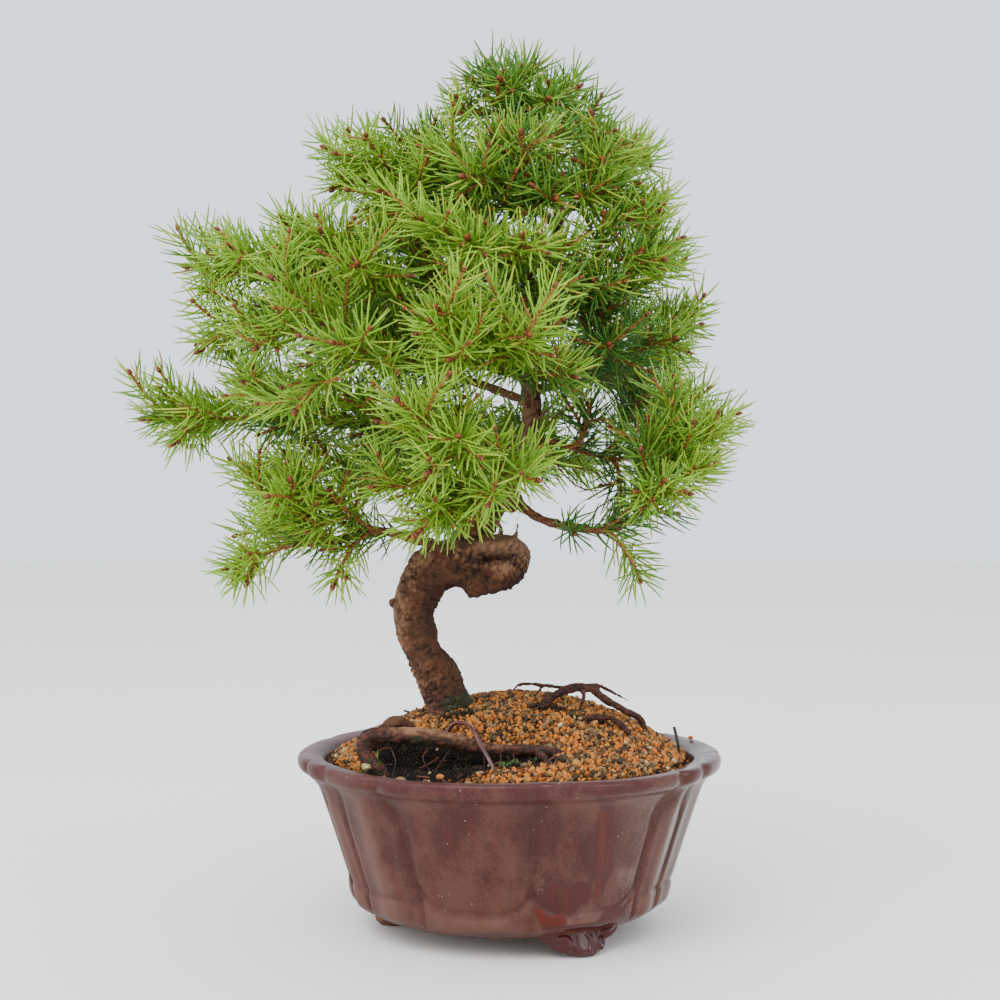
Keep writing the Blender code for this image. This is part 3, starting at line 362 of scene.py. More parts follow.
# The left and right edges of a foot at six heights, how far out its middle is, the scrolls on its
# front as (across, height, radius), and the horn at its side as (across, height, out, radius)
FOOT_HEIGHTS = (0, 1, 2.5, 4.5, 7, 10)
FOOT_EDGES = ((-4.6, -6.6, -9.4, -13.2, -15.6, -16.4), (5.6, 7.2, 8.6, 9.2, 9.4, 9.6))
FOOT_MIDDLE = 50.0
FOOT_SCROLLS = (
    ((-15.8, 8.6, 0.9), (-14, 6.4, 1.0), (-11.4, 4.4, 1.1), (-8.6, 3, 1.1), (-7, 4.4, 1.1),
     (-7.6, 6.8, 1.0), (-9.4, 7.6, 0.9), (-10.8, 6.4, 0.8)),
    ((-4.8, 9, 0.8), (-5, 5.6, 0.9), (-4.2, 2.6, 0.8), (-1.6, 1.6, 0.8), (0.8, 2.4, 0.8), (1.5, 5.6, 0.8),
     (0.2, 8.6, 0.8)),
    ((3, 9, 0.7), (3.3, 6, 0.7), (3.2, 3.4, 0.7), (2.4, 1.2, 0.7)),
    ((5.4, 8.6, 0.8), (4.6, 6.6, 0.9), (4.6, 4.4, 1.0), (5.8, 2.6, 1.1), (7.6, 3.4, 1.2), (8.4, 5.2, 1.2),
     (7.8, 7.2, 1.0), (6.4, 7, 0.8)),
)
FOOT_HORN = ((7.2, 6.8, 54, 2.2), (9.6, 7.5, 55, 2.1), (11.4, 8.7, 55, 1.8), (12.7, 10.3, 55, 1.3))

# How finely the pieces are made: points round them, and voxels in millimetres
POT_SIDES = 420
FOOT_SIDES = 40
FOOT_VOXEL = 0.5
SCROLL_SIDES = 14
BED_SIDES = 150
BED_STEP = 1.6
SURFACE_SIDES = 110
SURFACE_STEP = 2.5
GRAIN_SHAPES = 12
GRAIN_CORNERS = 9
STONE_CORNERS = 18
HAIR_SIDES = 5
ROD_SIDES = 18
WIRE_SIDES = 14
FLOOR_SIDES = 64


# Numbers, nodes and meshes

def socket_of(sockets, key):
    """A node's socket by its number, or the one in use by its name."""
    if isinstance(key, int):
        return sockets[key]
    return next(s for s in sockets if s.name == key and s.enabled and not s.is_unavailable)


def plug(item, socket):
    """Links a value to a socket, or sets the socket to it."""
    if isinstance(item, Value):
        socket.node.id_data.links.new(item.socket, socket)
    elif socket.type == "RGBA" and len(item) == 3:
        socket.default_value = (*item, 1.0)
    else:
        socket.default_value = item


class Value:
    """A node's output, on which Python's operators add Math nodes."""

    def __init__(self, socket):
        self.socket = socket

    def output(self, key):
        return Value(socket_of(self.socket.node.outputs, key))

    def maths(self, operation, *items):
        node = self.socket.node.id_data.nodes.new("ShaderNodeMath")
        node.operation = operation
        for item, place in zip(items, node.inputs):
            plug(item, place)
        return Value(node.outputs[0])

    def __add__(self, other):
        return self.maths("ADD", self, other)

    def __radd__(self, other):
        return self.maths("ADD", other, self)

    def __sub__(self, other):
        return self.maths("SUBTRACT", self, other)

    def __rsub__(self, other):
        return self.maths("SUBTRACT", other, self)

    def __mul__(self, other):
        return self.maths("MULTIPLY", self, other)

    def __rmul__(self, other):
        return self.maths("MULTIPLY", other, self)

    def __pow__(self, other):
        return self.maths("POWER", self, other)

    def __gt__(self, other):
        return self.maths("GREATER_THAN", self, other)


class Nodes:
    """A node tree, to which add() adds one node and hands back one of its outputs."""

    def __init__(self, tree):
        self.tree = tree

    def add(self, kind, inputs=None, output=0, **settings):
        node = self.tree.nodes.new(kind)
        for name, setting in settings.items():
            setattr(node, name, setting)
        for key, item in (inputs or {}).items():
            plug(item, socket_of(node.inputs, key))
        return Value(socket_of(node.outputs, output))

    def scaled(self, vector, share):
        return self.add("ShaderNodeVectorMath", {"Vector": vector, "Scale": share}, operation="SCALE")

    def sum(self, first, second):
        return self.add("ShaderNodeVectorMath", {0: first, 1: second}, operation="ADD")

    def vector(self, x=0.0, y=0.0, z=0.0):
        return self.add("ShaderNodeCombineXYZ", {"X": x, "Y": y, "Z": z})


class Finish(Nodes):
    """A Principled material whose sockets take constants or what the nodes make."""

    def __init__(self, name, constants=None):
        self.material = bpy.data.materials.new(name)
        self.material.use_nodes = True
        super().__init__(self.material.node_tree)
        self.shader = self.tree.nodes["Principled BSDF"]
        self.place = self.add("ShaderNodeTexCoord", output="Object")
        for key, value in (constants or {}).items():
            self.feed(key, value)

    def feed(self, key, value):
        plug(value, socket_of(self.shader.inputs, key))

    def noise(self, size, detail=2.0, stretch=(1.0, 1.0, 1.0), rough=0.5):
        """Noise from 0 to 1 with features of a size in millimetres, stretched along an axis."""
        scale = [1.0 / (size * MM * s) for s in stretch]
        place = self.add("ShaderNodeVectorMath", {0: self.place, 1: scale}, operation="MULTIPLY")
        inputs = {"Vector": place, "Scale": 1.0, "Detail": detail, "Roughness": rough}
        return self.add("ShaderNodeTexNoise", inputs, "Fac")

    def cells(self, size, output="Distance"):
        inputs = {"Vector": self.place, "Scale": 1.0 / (size * MM)}
        return self.add("ShaderNodeTexVoronoi", inputs, output)

    def attribute(self, name):
        return self.add("ShaderNodeAttribute", output="Fac", attribute_name=name)

    def attributes(self, names):
        return [self.attribute(name) for name in names.split()]

    def step(self, value, low, high):
        """0 below low, 1 above high, and smooth between; high may be the lower one."""
        inputs = {"Value": value, "From Min": low, "From Max": high}
        return self.add("ShaderNodeMapRange", inputs, interpolation_type="SMOOTHSTEP")

    def blend(self, first, second, share):
        inputs = {"Factor": share, "A": first, "B": second}
        return self.add("ShaderNodeMix", inputs, "Result", data_type="RGBA")

    def bump(self, height, depth, strength=1.0):
        """A bump from a height of 0 to 1 over a depth in millimetres."""
        inputs = {"Height": height, "Distance": depth * MM, "Strength": strength}
        self.feed("Normal", self.add("ShaderNodeBump", inputs))


class Growth(Nodes):
    """A Geometry Nodes tree with named inputs, which grow() runs on a mesh."""

    def __init__(self, name, inputs):
        super().__init__(bpy.data.node_groups.new(name, "GeometryNodeTree"))
        face = self.tree.interface
        face.new_socket("Geometry", in_out="INPUT", socket_type="NodeSocketGeometry")
        face.new_socket("Geometry", in_out="OUTPUT", socket_type="NodeSocketGeometry")
        self.names = {}
        for key, kind in inputs.items():
            socket = face.new_socket(key, in_out="INPUT", socket_type="NodeSocket" + kind)
            self.names[key] = socket.identifier
        self.source = self.tree.nodes.new("NodeGroupInput")
        self.sink = self.tree.nodes.new("NodeGroupOutput")

    def given(self, key):
        return Value(self.source.outputs[key])

    def attribute(self, name, kind="FLOAT"):
        return self.add("GeometryNodeInputNamedAttribute", {"Name": name}, "Attribute", data_type=kind)

    def store(self, geometry, name, value, domain="POINT"):
        inputs = {"Geometry": geometry, "Name": name, "Value": value}
        return self.add("GeometryNodeStoreNamedAttribute", inputs, data_type="FLOAT", domain=domain)

    def chance(self, low, high, seed, kind="FLOAT"):
        inputs = {"Min": low, "Max": high, "Seed": seed}
        return self.add("FunctionNodeRandomValue", inputs, "Value", data_type=kind)

    def facing(self, primary, secondary):
        """A rotation that turns local Z to one direction, and local X as near as it goes to another."""
        inputs = {"Primary Axis": primary, "Secondary Axis": secondary}
        return self.add("FunctionNodeAxesToRotation", inputs, primary_axis="Z", secondary_axis="X")

    def strewn(self, distance, density, share):
        """Points strewn over the given mesh, kept apart by a distance."""
        inputs = {"Mesh": self.given("Geometry"), "Distance Min": distance, "Density Max": density,
                  "Density Factor": self.attribute(share), "Seed": self.given("Seed")}
        return self.add("GeometryNodeDistributePointsOnFaces", inputs, distribute_method="POISSON")

    def placed(self, points, instance, **inputs):
        """The instance set on each of the points."""
        inputs = {key.replace("_", " ").title(): item for key, item in inputs.items()}
        inputs = {"Points": points, "Instance": instance, **inputs}
        return self.add("GeometryNodeInstanceOnPoints", inputs)

    def ring(self, sides, radius):
        return self.add("GeometryNodeCurvePrimitiveCircle", {"Resolution": sides, "Radius": radius})

    def swept(self, line, ring, scale=1.0):
        """A closed tube of the ring's outline along the line."""
        inputs = {"Curve": line, "Profile Curve": ring, "Scale": scale, "Fill Caps": True}
        return self.add("GeometryNodeCurveToMesh", inputs)

    def finish(self, *parts, rounded=True):
        """Realizes the instances and puts out (geometry, material) pairs as one mesh."""
        joined = self.tree.nodes.new("GeometryNodeJoinGeometry")
        for geometry, material in parts:
            real = self.add("GeometryNodeRealizeInstances", {"Geometry": geometry})
            if rounded:
                real = self.add("GeometryNodeSetShadeSmooth", {"Geometry": real})
            real = self.add("GeometryNodeSetMaterial", {"Geometry": real, "Material": self.given(material)})
            plug(real, joined.inputs[0])
        plug(Value(joined.outputs[0]), self.sink.inputs[0])

    def grow(self, name, mesh, **inputs):
        """Runs the tree on a mesh, and hands back a plain finished object."""
        piece = piece_of(name, mesh, rounded=False)
        modifier = piece.modifiers.new("growth", "NODES")
        modifier.node_group = self.tree
        for key, value in inputs.items():
            modifier[self.names[key.replace("_", " ").title()]] = value
        settle(piece)
        return piece


def settle(piece):
    """Replaces the object's mesh with what its modifiers make of it."""
    bpy.context.view_layer.update()
    graph = bpy.context.evaluated_depsgraph_get()
    made = bpy.data.meshes.new_from_object(
        piece.evaluated_get(graph), preserve_all_data_layers=True, depsgraph=graph)
    piece.modifiers.clear()
    piece.data = made


def fuse(piece, voxel, softening):
    """Fuses the piece's shapes into one skin, and softens it so many times."""
    remesh = piece.modifiers.new("fuse", "REMESH")
    remesh.mode = "VOXEL"
    remesh.voxel_size = voxel
    soften = piece.modifiers.new("soften", "SMOOTH")
    soften.factor = 0.5
    soften.iterations = softening
    settle(piece)


def write_attributes(mesh, **attributes):
    """Gives a mesh a number or a vector for each point."""
    for key, values in attributes.items():
        values = np.asarray(values, float)
        kind, slot = ("FLOAT_VECTOR", "vector") if values.ndim == 2 else ("FLOAT", "value")
        mesh.attributes.new(key, kind, "POINT").data.foreach_set(slot, values.ravel())


def vectors_of(mesh, key):
    """The place or the normal of each vertex."""
    values = np.zeros(len(mesh.vertices) * 3)
    mesh.vertices.foreach_get(key, values)
    return values.reshape(-1, 3)


def places_of(mesh):
    """The vertices' places in millimetres from the pot's axis."""
    return vectors_of(mesh, "co") / MM - np.array(POT_AXIS)


def mesh_of(name, points, faces=(), edges=(), axis=POT_AXIS, **attributes):
    """A mesh in metres from points in millimetres, with a number or a vector for each point."""
    mesh = bpy.data.meshes.new(name)
    places = (np.asarray(points, float).reshape(-1, 3) + np.array(axis)) * MM
    mesh.from_pydata(places.tolist(), list(edges), list(faces))
    write_attributes(mesh, **attributes)
    return mesh


def piece_of(name, mesh, material=None, rounded=True):
    piece = bpy.data.objects.new(name, mesh)
    bpy.context.scene.collection.objects.link(piece)
    if material:
        mesh.materials.append(material)
    if rounded:
        mesh.shade_smooth()
    return piece


def finished(piece, material):
    """Gives a piece its one material and smooth shading."""
    piece.data.materials.clear()
    piece.data.materials.append(material)
    piece.data.shade_smooth()
    return piece


def clear_away(helpers):
    """Removes a collection and the objects in it."""
    for helper in list(helpers.objects):
        bpy.data.objects.remove(helper, do_unlink=True)
    bpy.data.collections.remove(helpers)


def hand_over(piece, slot, *nodes):
    """Puts a finished piece on the frame in place of the nodes."""
    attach(piece, "root")
    if nodes:
        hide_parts(*nodes)


def smooth(share):
    """A step from 0 to 1 with soft ends."""
    share = np.clip(share, 0.0, 1.0)
    return share * share * (3.0 - 2.0 * share)


def hill(share):
    """1 at 0, and softly down to 0 some two steps to either side of it."""
    return np.exp(-(share ** 2))


def flowing(points, per):
    """A smooth line through the points, with so many steps from each to the next."""
    points = np.array(points, float)
    ends = np.vstack([2 * points[0] - points[1], points, 2 * points[-1] - points[-2]])
    rows = []
    for a, b, c, d in zip(ends, ends[1:], ends[2:], ends[3:]):
        for t in np.arange(per) / per:
            rows.append(0.5 * (2 * b + (c - a) * t + (2 * a - 5 * b + 4 * c - d) * t * t
                               + (3 * b - a - 3 * c + d) * t ** 3))
    return np.array(rows + [points[-1]])


def ring_faces(rings, sides, closed=True):
    """Faces between rings of points, and over both ends."""
    faces = []
    for ring in range(rings - 1):
        for side in range(sides):
            a, b = ring * sides + side, ring * sides + (side + 1) % sides
            faces.append((a, b, b + sides, a + sides))
    if closed:
        faces.append(tuple(reversed(range(sides))))
        faces.append(tuple(range((rings - 1) * sides, rings * sides)))
    return faces


def even_turns(sides, shift=0.0):
    """The angles of points spread evenly round a circle."""
    return math.tau * (np.arange(sides) + shift) / sides


def ring_at(radius, turns, height):
    """Points round the pot's axis, from the viewer's side anticlockwise as seen from above."""
    return np.stack([radius * np.sin(turns), -radius * np.cos(turns), height + 0.0 * turns], axis=1)


def frames_along(route):
    """The route's direction at each point, and one at right angles to it that doesn't twist."""
    ahead = np.gradient(route, axis=0)
    ahead /= np.linalg.norm(ahead, axis=1)[:, None]
    normal = np.array(Vector(ahead[0]).orthogonal().normalized())
    normals = []
    for tangent in ahead:
        normal = normal - tangent * (normal @ tangent)
        normal = normal / np.linalg.norm(normal)
        normals.append(normal)
    return ahead, np.array(normals)


def tube(route, radii, sides):
    """Points and faces of a tube round the route."""
    route = np.asarray(route, float)
    turns = even_turns(sides)
    points = []
    for place, tangent, normal, radius in zip(route, *frames_along(route), radii):
        across = np.cross(tangent, normal)
        points.append(place + radius * (np.outer(np.cos(turns), normal) + np.outer(np.sin(turns), across)))
    return np.vstack(points), ring_faces(len(route), sides)


def joined(shapes):
    """The points and faces of several shapes as those of one."""
    points, faces, count = [], [], 0
    for own_points, own_faces in shapes:
        points.append(own_points)
        faces += [tuple(i + count for i in face) for face in own_faces]
        count += len(own_points)
    return np.vstack(points), faces


def rough_at(places, size, seed=0.0):
    """Noise from -1 to 1 at each place, with features of a size in millimetres."""
    return np.array([noise.noise(Vector(p) / size + Vector((seed, seed, seed))) for p in places])


# The leafy shoots, drawn as the part draws them

def along(route, share):
    """The place and direction at a share of the route's length."""
    route = [Vector(p) for p in route]
    steps = [(b - a).length for a, b in zip(route, route[1:])]
    left = share * sum(steps)
    for a, b, step in zip(route, route[1:], steps):
        if left <= step:
            return a.lerp(b, left / step), (b - a).normalized()
        left -= step
    return route[-1], (route[-1] - route[-2]).normalized()


def bent(start, leaving, tip, steps):
    """A stem that leaves along one direction and bends over to its tip."""
    reach = (tip - start).length
    heading = (tip - start).normalized()
    control = start + heading.lerp(leaving, STEM_LEAVES_ALONG_WOOD) * reach * STEM_BEND
    shares = [step / steps for step in range(steps + 1)]
    return [start * (1 - t) ** 2 + control * 2 * t * (1 - t) + tip * t * t for t in shares]


class Clearance:
    """The rods that stand so far, so that a new one can be kept clear of them."""

    def __init__(self):
        self.starts, self.ends, self.radii, self.owners = [], [], [], []

    def add(self, route, radii, owner):
        for a, b, radius in zip(route, route[1:], radii):
            self.starts.append(tuple(a))
            self.ends.append(tuple(b))
            self.radii.append(radius)
            self.owners.append(owner)

    def room(self, route, radius, besides):
        """The least room between the route and the rods of other owners."""
        others = np.array([owner not in besides for owner in self.owners])
        starts = np.array(self.starts)[others]
        ends = np.array(self.ends)[others]
        radii = np.array(self.radii)[others]
        least = math.inf
        for a, b in zip(route, route[1:]):
            least = min(least, float((rod_distance(a, b, starts, ends) - radii).min()) - radius)
        return least


def rod_distance(a, b, starts, ends):
    """The distance from one segment to each of many."""
    a, b = np.array(a), np.array(b)
    own, other, between = b - a, ends - starts, a - starts
    own_own = float(own @ own)
    other_other = (other * other).sum(axis=1)
    own_other = other @ own
    own_between = between @ own
    other_between = (other * between).sum(axis=1)
    spread = own_own * other_other - own_other ** 2
    nearest = (own_other * other_between - other_other * own_between) / np.maximum(spread, 1e-9)
    s = np.clip(nearest, 0.0, 1.0)
    t = np.clip((own_other * s + other_between) / other_other, 0.0, 1.0)
    s = np.clip((own_other * t - own_between) / own_own, 0.0, 1.0)
    gap = between + s[:, None] * own - t[:, None] * other
    return np.sqrt((gap ** 2).sum(axis=1))


def turned(direction, tilt, roll):
    """The direction tilted away from itself, then rolled round itself."""
    sideways = direction.orthogonal().normalized()
    sideways = Quaternion(direction, math.radians(roll)) @ sideways
    return (direction * math.cos(math.radians(tilt)) + sideways * math.sin(math.radians(tilt))).normalized()


def main_shoots(name, taken):
    """(start, leaving direction, tip) of each stem and side shoot that the branch's solid has."""
    draw = random.Random(f"{SEED} {name}")
    route, _, sprays = BRANCHES[name]
    own = {name} | {f"{name} {number}" for number in range(2 * len(sprays))}
    shoots = []
    for number, (share, tip) in enumerate(sprays):
        start, heading = along(route, share)
        start -= heading * STEM_ROOT
        for attempt in range(TRIES):
            stray = TIP_STRAY * attempt
            end = Vector(tip) + Vector([draw.uniform(-stray, stray) for _ in range(3)])
            stem = bent(start, heading, end, STEM_STEPS)
            if taken.room(stem, CORE_RADIUS, own) > GAP:
                break
        taken.add(stem, [CORE_RADIUS] * STEM_STEPS, f"{name} {len(shoots)}")
        shoots.append((start, heading, end))
        if number % SIDE_SHOOT_EVERY:
            continue
        fork, heading = along(stem, SIDE_SHOOT_LEAVES_AT)
        length = sum((b - a).length for a, b in zip(stem, stem[1:])) * SIDE_SHOOT_SHARE
        length = min(max(length, SIDE_SHOOT_LENGTHS[0]), SIDE_SHOOT_LENGTHS[1])
        for attempt in range(TRIES):
            roll = SIDE_SHOOT_ROLL * number + SIDE_SHOOT_STRAY * attempt * draw.uniform(-1.0, 1.0)
            end = fork + turned(heading, SIDE_SHOOT_ANGLE, roll) * length
            shoot = bent(fork, heading, end, SIDE_SHOOT_STEPS)
            if taken.room(shoot, CORE_RADIUS, own) > GAP:
                taken.add(shoot, [CORE_RADIUS] * SIDE_SHOOT_STEPS, f"{name} {len(shoots)}")
                shoots.append((fork, heading, end))
                break
    return shoots


def wood_route(name, route=None):
    """The branch's own wood from its collar outwards."""
    route = [Vector(p) for p in route or BRANCHES[name][0]]
    heading = (route[1] - route[0]).normalized()
    return [route[0] + heading * COLLAR_LENGTHS.get(name, COLLAR_LENGTH)] + route[1:]


def seen_route(name):
    """The same wood as it is seen."""
    return wood_route(name, SEEN_ROUTES.get(name))


class Twig:
    """A line of wood with its radius at both ends, and the needles and the bud that it carries."""

    def __init__(self, line, girth, leafy=0.0, vigour=1.0, sun=0.5, bud=0.0):
        self.line = np.array([tuple(p) for p in line])
        self.girth = girth
        self.leafy = leafy
        self.vigour = vigour
        self.sun = sun
        self.bud = bud

    def length(self):
        return float(np.linalg.norm(np.diff(self.line, axis=0), axis=1).sum())

    def radii(self):
        """The radius at each point: older wood is knobbly."""
        shares = np.linspace(0.0, 1.0, len(self.line))
        knobbly = 0.3 if self.girth[0] > 1.3 else 0.0
        even = self.girth[0] + (self.girth[1] - self.girth[0]) * shares
        return even * (1.0 + knobbly * rough_at(self.line, 3.0, 2.0))


def sunlit(place):
    """How bright a shoot's needles are: 1 at the outside of the crown, 0 close to the trunk."""
    centre = np.array((2.0, 0.0))
    out = np.hypot(*(np.array(place[:2]) - centre))
    reach = np.interp(place[2], (120, 150, 200, 250, 300, 335), (50, 85, 100, 90, 60, 30))
    return float(max(smooth((out / reach - 0.25) / 0.6), 0.62 * smooth((place[2] - 240.0) / 60.0)))


def side_twigs(parent, draw, count, shares, length, sun):
    """Small leafy shoots that fork off a shoot to both sides in turn."""
    made = []
    first = draw.choice((-1.0, 1.0))
    for number in range(count):
        share = shares[0] + (shares[1] - shares[0]) * (number + draw.uniform(0.1, 0.9)) / count
        start, heading = along(parent.line, share)
        level = heading.cross(Vector((0.0, 0.0, 1.0)))
        if level.length < 0.2:
            level = heading.orthogonal()
        level = Quaternion(heading, math.radians(draw.uniform(-55.0, 55.0))) @ level.normalized()
        side = first if number % 2 else -first
        angle = math.radians(draw.uniform(38.0, 58.0))
        aim = heading * math.cos(angle) + level * side * math.sin(angle)
        reach = min(max(parent.length() * length * draw.uniform(0.8, 1.15) * (1.15 - 0.6 * share), 8.0), 27.0)
        tip = start + aim * reach + Vector((0.0, 0.0, 1.0)) * reach * draw.uniform(0.0, 0.35)
        line = bent(start - heading * 0.5, heading, tip, 6)
        made.append(Twig(line, (0.75, 0.5), 0.06, draw.uniform(0.88, 1.0), sun, draw.uniform(0.68, 0.9)))
    return made


def twigs_of(name, shoots):
    """All the wood of one leafy branch."""
    draw = random.Random(f"{SEED} twigs {name}")
    thick, thin = BRANCHES[name][1]
    wood = Twig(flowing(seen_route(name), 8), (0.78 * thick, 0.78 * thin), 0.55, 0.85, 0.1)
    made = [wood]
    for start, heading, tip in shoots + filling_shoots(name, wood):
        sun = sunlit(tip)
        stem = Twig(bent(start, heading, tip, 12), (1.05, 0.7), 0.12, 1.0, sun, draw.uniform(0.92, 1.15))
        made.append(stem)
        count = int(stem.length() / 9.0)
        made += side_twigs(stem, draw, min(max(count, 2), 5), (0.25, 0.86), 0.55, sun * 0.9)
    inner = side_twigs(wood, draw, int(wood.length() / 11.0), (0.2, 0.97), 0.3, 0.12)
    return made + inner


def filling_shoots(name, wood):
    """The stems between those that the solid has, for a crown with no holes in it."""
    made = []
    for share, tip in FILLERS.get(name, ()):
        start, heading = along(wood.line, share)
        made.append((start - heading, heading, Vector(tip)))
    return made


# Finishes

def needle_finish(needles):
    finish = Finish("spruce_needles", {
        "Roughness": 0.5, "Specular IOR Level": 0.3, "Subsurface Weight": 0.12,
        "Subsurface Radius": (0.3, 1.0, 0.15), "Subsurface Scale": 0.001})
    sun, shade, reach = finish.attributes("sun shade reach")
    patch = finish.noise(45.0, 1.0)
    light = finish.step(sun + (shade - 0.5) * 0.5 + (patch - 0.5) * 0.9, 0.05, 0.95)
    green = finish.blend(needles.deep_green, needles.bright_green, light)
    green = finish.blend(green, needles.yellow_green, finish.step(shade, 0.82, 0.98) * 0.7)
    green = finish.blend(green, needles.old_needle, finish.step(shade, 0.014, 0.006))
    green = finish.blend(green, needles.pale_tip, finish.step(reach, 0.86, 1.0) * 0.5)
    green = finish.blend(needles.needle_foot, green, finish.step(reach, 0.0, 0.12))
    finish.feed("Base Color", green)
    return finish.material


def twig_finish(wood):
    finish = Finish("twig_bark", {"Roughness": 0.75, "Specular IOR Level": 0.25})
    grain = finish.noise(0.9, 3.0)
    young = finish.blend(wood.twig_shadow, wood.young_twig, finish.step(grain, 0.3, 0.62))
    old = finish.blend(wood.bark_dark, wood.old_twig, finish.step(grain, 0.3, 0.6))
    finish.feed("Base Color", finish.blend(young, old, finish.attribute("age")))
    finish.bump(grain, 0.25)
    return finish.material


def bud_finish(wood):
    finish = Finish("bud_scales", {"Roughness": 0.5, "Specular IOR Level": 0.25})
    scale = finish.attribute("rim") * 0.6 + finish.noise(1.2, 2.0) * 0.6
    finish.feed("Base Color", finish.blend(wood.bud_dark, wood.bud, finish.step(scale, 0.3, 0.95)))
    return finish.material


def bark_finish(wood):
    finish = Finish("trunk_bark", {"Specular IOR Level": 0.25})
    relief, moss, root, worn = finish.attributes("relief moss root worn")
    grain = finish.noise(1.1, 4.0, rough=0.65)
    broad = finish.noise(9.0, 2.0)
    flake = finish.cells(2.3)
    ridge = relief * 0.8 + (grain - 0.5) * 2.0 + (0.5 - flake) * 1.1
    bark = finish.blend(wood.bark_dark, wood.bark_mid, finish.step(ridge, -1.0, 0.2))
    bark = finish.blend(bark, wood.bark_red, finish.step(broad, 0.48, 0.62) * 0.35)
    # Painted shade: bark that faces away from the light is darkened
    bark = finish.blend(bark, wood.bark_dark, finish.step(worn, 0.2, -0.5) * 0.55)
    # Painted light on bark facing the light, together with the paler wear of the ridges
    tan = finish.step(worn + ridge * 0.5 + (broad - 0.5) * 0.8, 0.25, 1.2)
    bark = finish.blend(bark, wood.bark_highlight_and_wear, tan * 0.85)
    wet = finish.blend(wood.bark_dark, wood.root_brown, finish.step(grain + relief * 0.3, 0.35, 0.7))
    bark = finish.blend(bark, wet, root)
    tuft = finish.step(finish.noise(1.3, 4.0, rough=0.7), 0.42, 0.7)
    mossy = finish.step(moss + (grain - 0.5) * 1.6 + (broad - 0.5) * 0.8, 0.3, 0.95)
    bark = finish.blend(bark, finish.blend(wood.moss_dark, wood.moss, tuft), mossy * 0.9)
    finish.feed("Base Color", bark)
    finish.feed("Roughness", finish.step(root, 0.0, 1.0) * -0.2 + 0.88)
    finish.bump(grain * 0.6 + (0.5 - flake) * 0.5, 0.9)
    return finish.material


def glaze_finish(pot):
    finish = Finish("pot_glaze", {"Coat Roughness": 0.12, "Specular IOR Level": 0.18})
    lip, lip_top, edge, bare, foot = finish.attributes("lip lip_top edge bare foot")
    right, red, pool, pale = finish.attributes("right red pool pale")
    speck = finish.noise(0.7, 3.0, rough=0.7)
    cloud = finish.noise(16.0, 4.0, (1.0, 1.0, 1.6), 0.6)
    streak = finish.noise(8.0, 5.0, (0.6, 0.6, 2.4), 0.7)
    ragged = finish.noise(6.0, 4.0, (0.8, 0.8, 1.7), 0.6)
    fleck = speck - 0.5

    haze = finish.step(cloud + fleck * 0.5 + edge * 0.12, 0.40, 0.66)
    glaze = finish.blend(pot.glaze, pot.haze, haze * 0.8)
    patches = finish.step(edge + (ragged - 0.5) * 0.8, 0.35, 1.0)
    glaze = finish.blend(glaze, pot.haze_patch, patches * 0.45)
    rust = finish.step(streak + fleck * 0.5, 0.55, 0.75)
    glaze = finish.blend(glaze, pot.rust, rust * 0.5)

    maroon = finish.step(finish.noise(14.0, 2.0) + fleck * 0.08 + right * 0.05, 0.54, 0.57)
    lip_face = finish.blend(pot.lip_face, pot.haze, finish.step(cloud + fleck * 0.6, 0.4, 0.6))
    lip_face = finish.blend(lip_face, pot.pool, maroon * 0.8)
    lip_face = finish.blend(lip_face, pot.rust, rust * 0.5)
    glaze = finish.blend(glaze, lip_face, lip * finish.step(haze, 1.3, 0.1) * 0.9)

    deep = finish.blend(pot.pool, pot.rust, finish.step(streak, 0.5, 0.75) * 0.5)
    torn = (ragged - 0.5) * 3.0 + fleck * 0.4
    pooled = finish.step(pool.maths("MAXIMUM", pool, red) + torn, -0.3, 0.9)
    glaze = finish.blend(glaze, deep, pooled * 0.9)
    glow = finish.step(red + torn, 0.0, 0.8) * (finish.step(speck, 0.4, 0.7) * 0.7 + 0.15)
    glaze = finish.blend(glaze, pot.rust, glow)
    dusty = finish.step(pale + torn * 1.4, -0.8, 2.4) * finish.step(speck + cloud * 0.5, 0.55, 0.95)
    glaze = finish.blend(glaze, pot.haze_patch, dusty * 0.8)

    # Painted reflection of the pale surround on the lip's top, strongest at the left and back and fading to
    # the right
    glaze = finish.blend(glaze, pot.lip_top_reflection, lip_top * (0.75 - right * 0.6))
    glaze = finish.blend(glaze, pot.foot, foot)
    sparks = finish.step(finish.cells(2.6), 0.07, 0.045)
    glaze = finish.blend(glaze, pot.spark, sparks * finish.step(finish.noise(5.0), 0.5, 0.6) * 0.7)
    finish.feed("Base Color", finish.blend(glaze, pot.clay, bare))
    gloss = 0.42 - right * 0.2 + haze * 0.12 - foot * 0.15
    finish.feed("Roughness", bare * 0.4 + gloss)
    wet = finish.step(pool, -0.3, 0.3) * 0.1
    finish.feed("Coat Weight", (1.0 - bare) * (right * 0.08 + foot * 0.15 + wet))
    finish.bump(speck * 0.4 + finish.noise(3.5, 2.0) * 0.6, 0.12)
    return finish.material


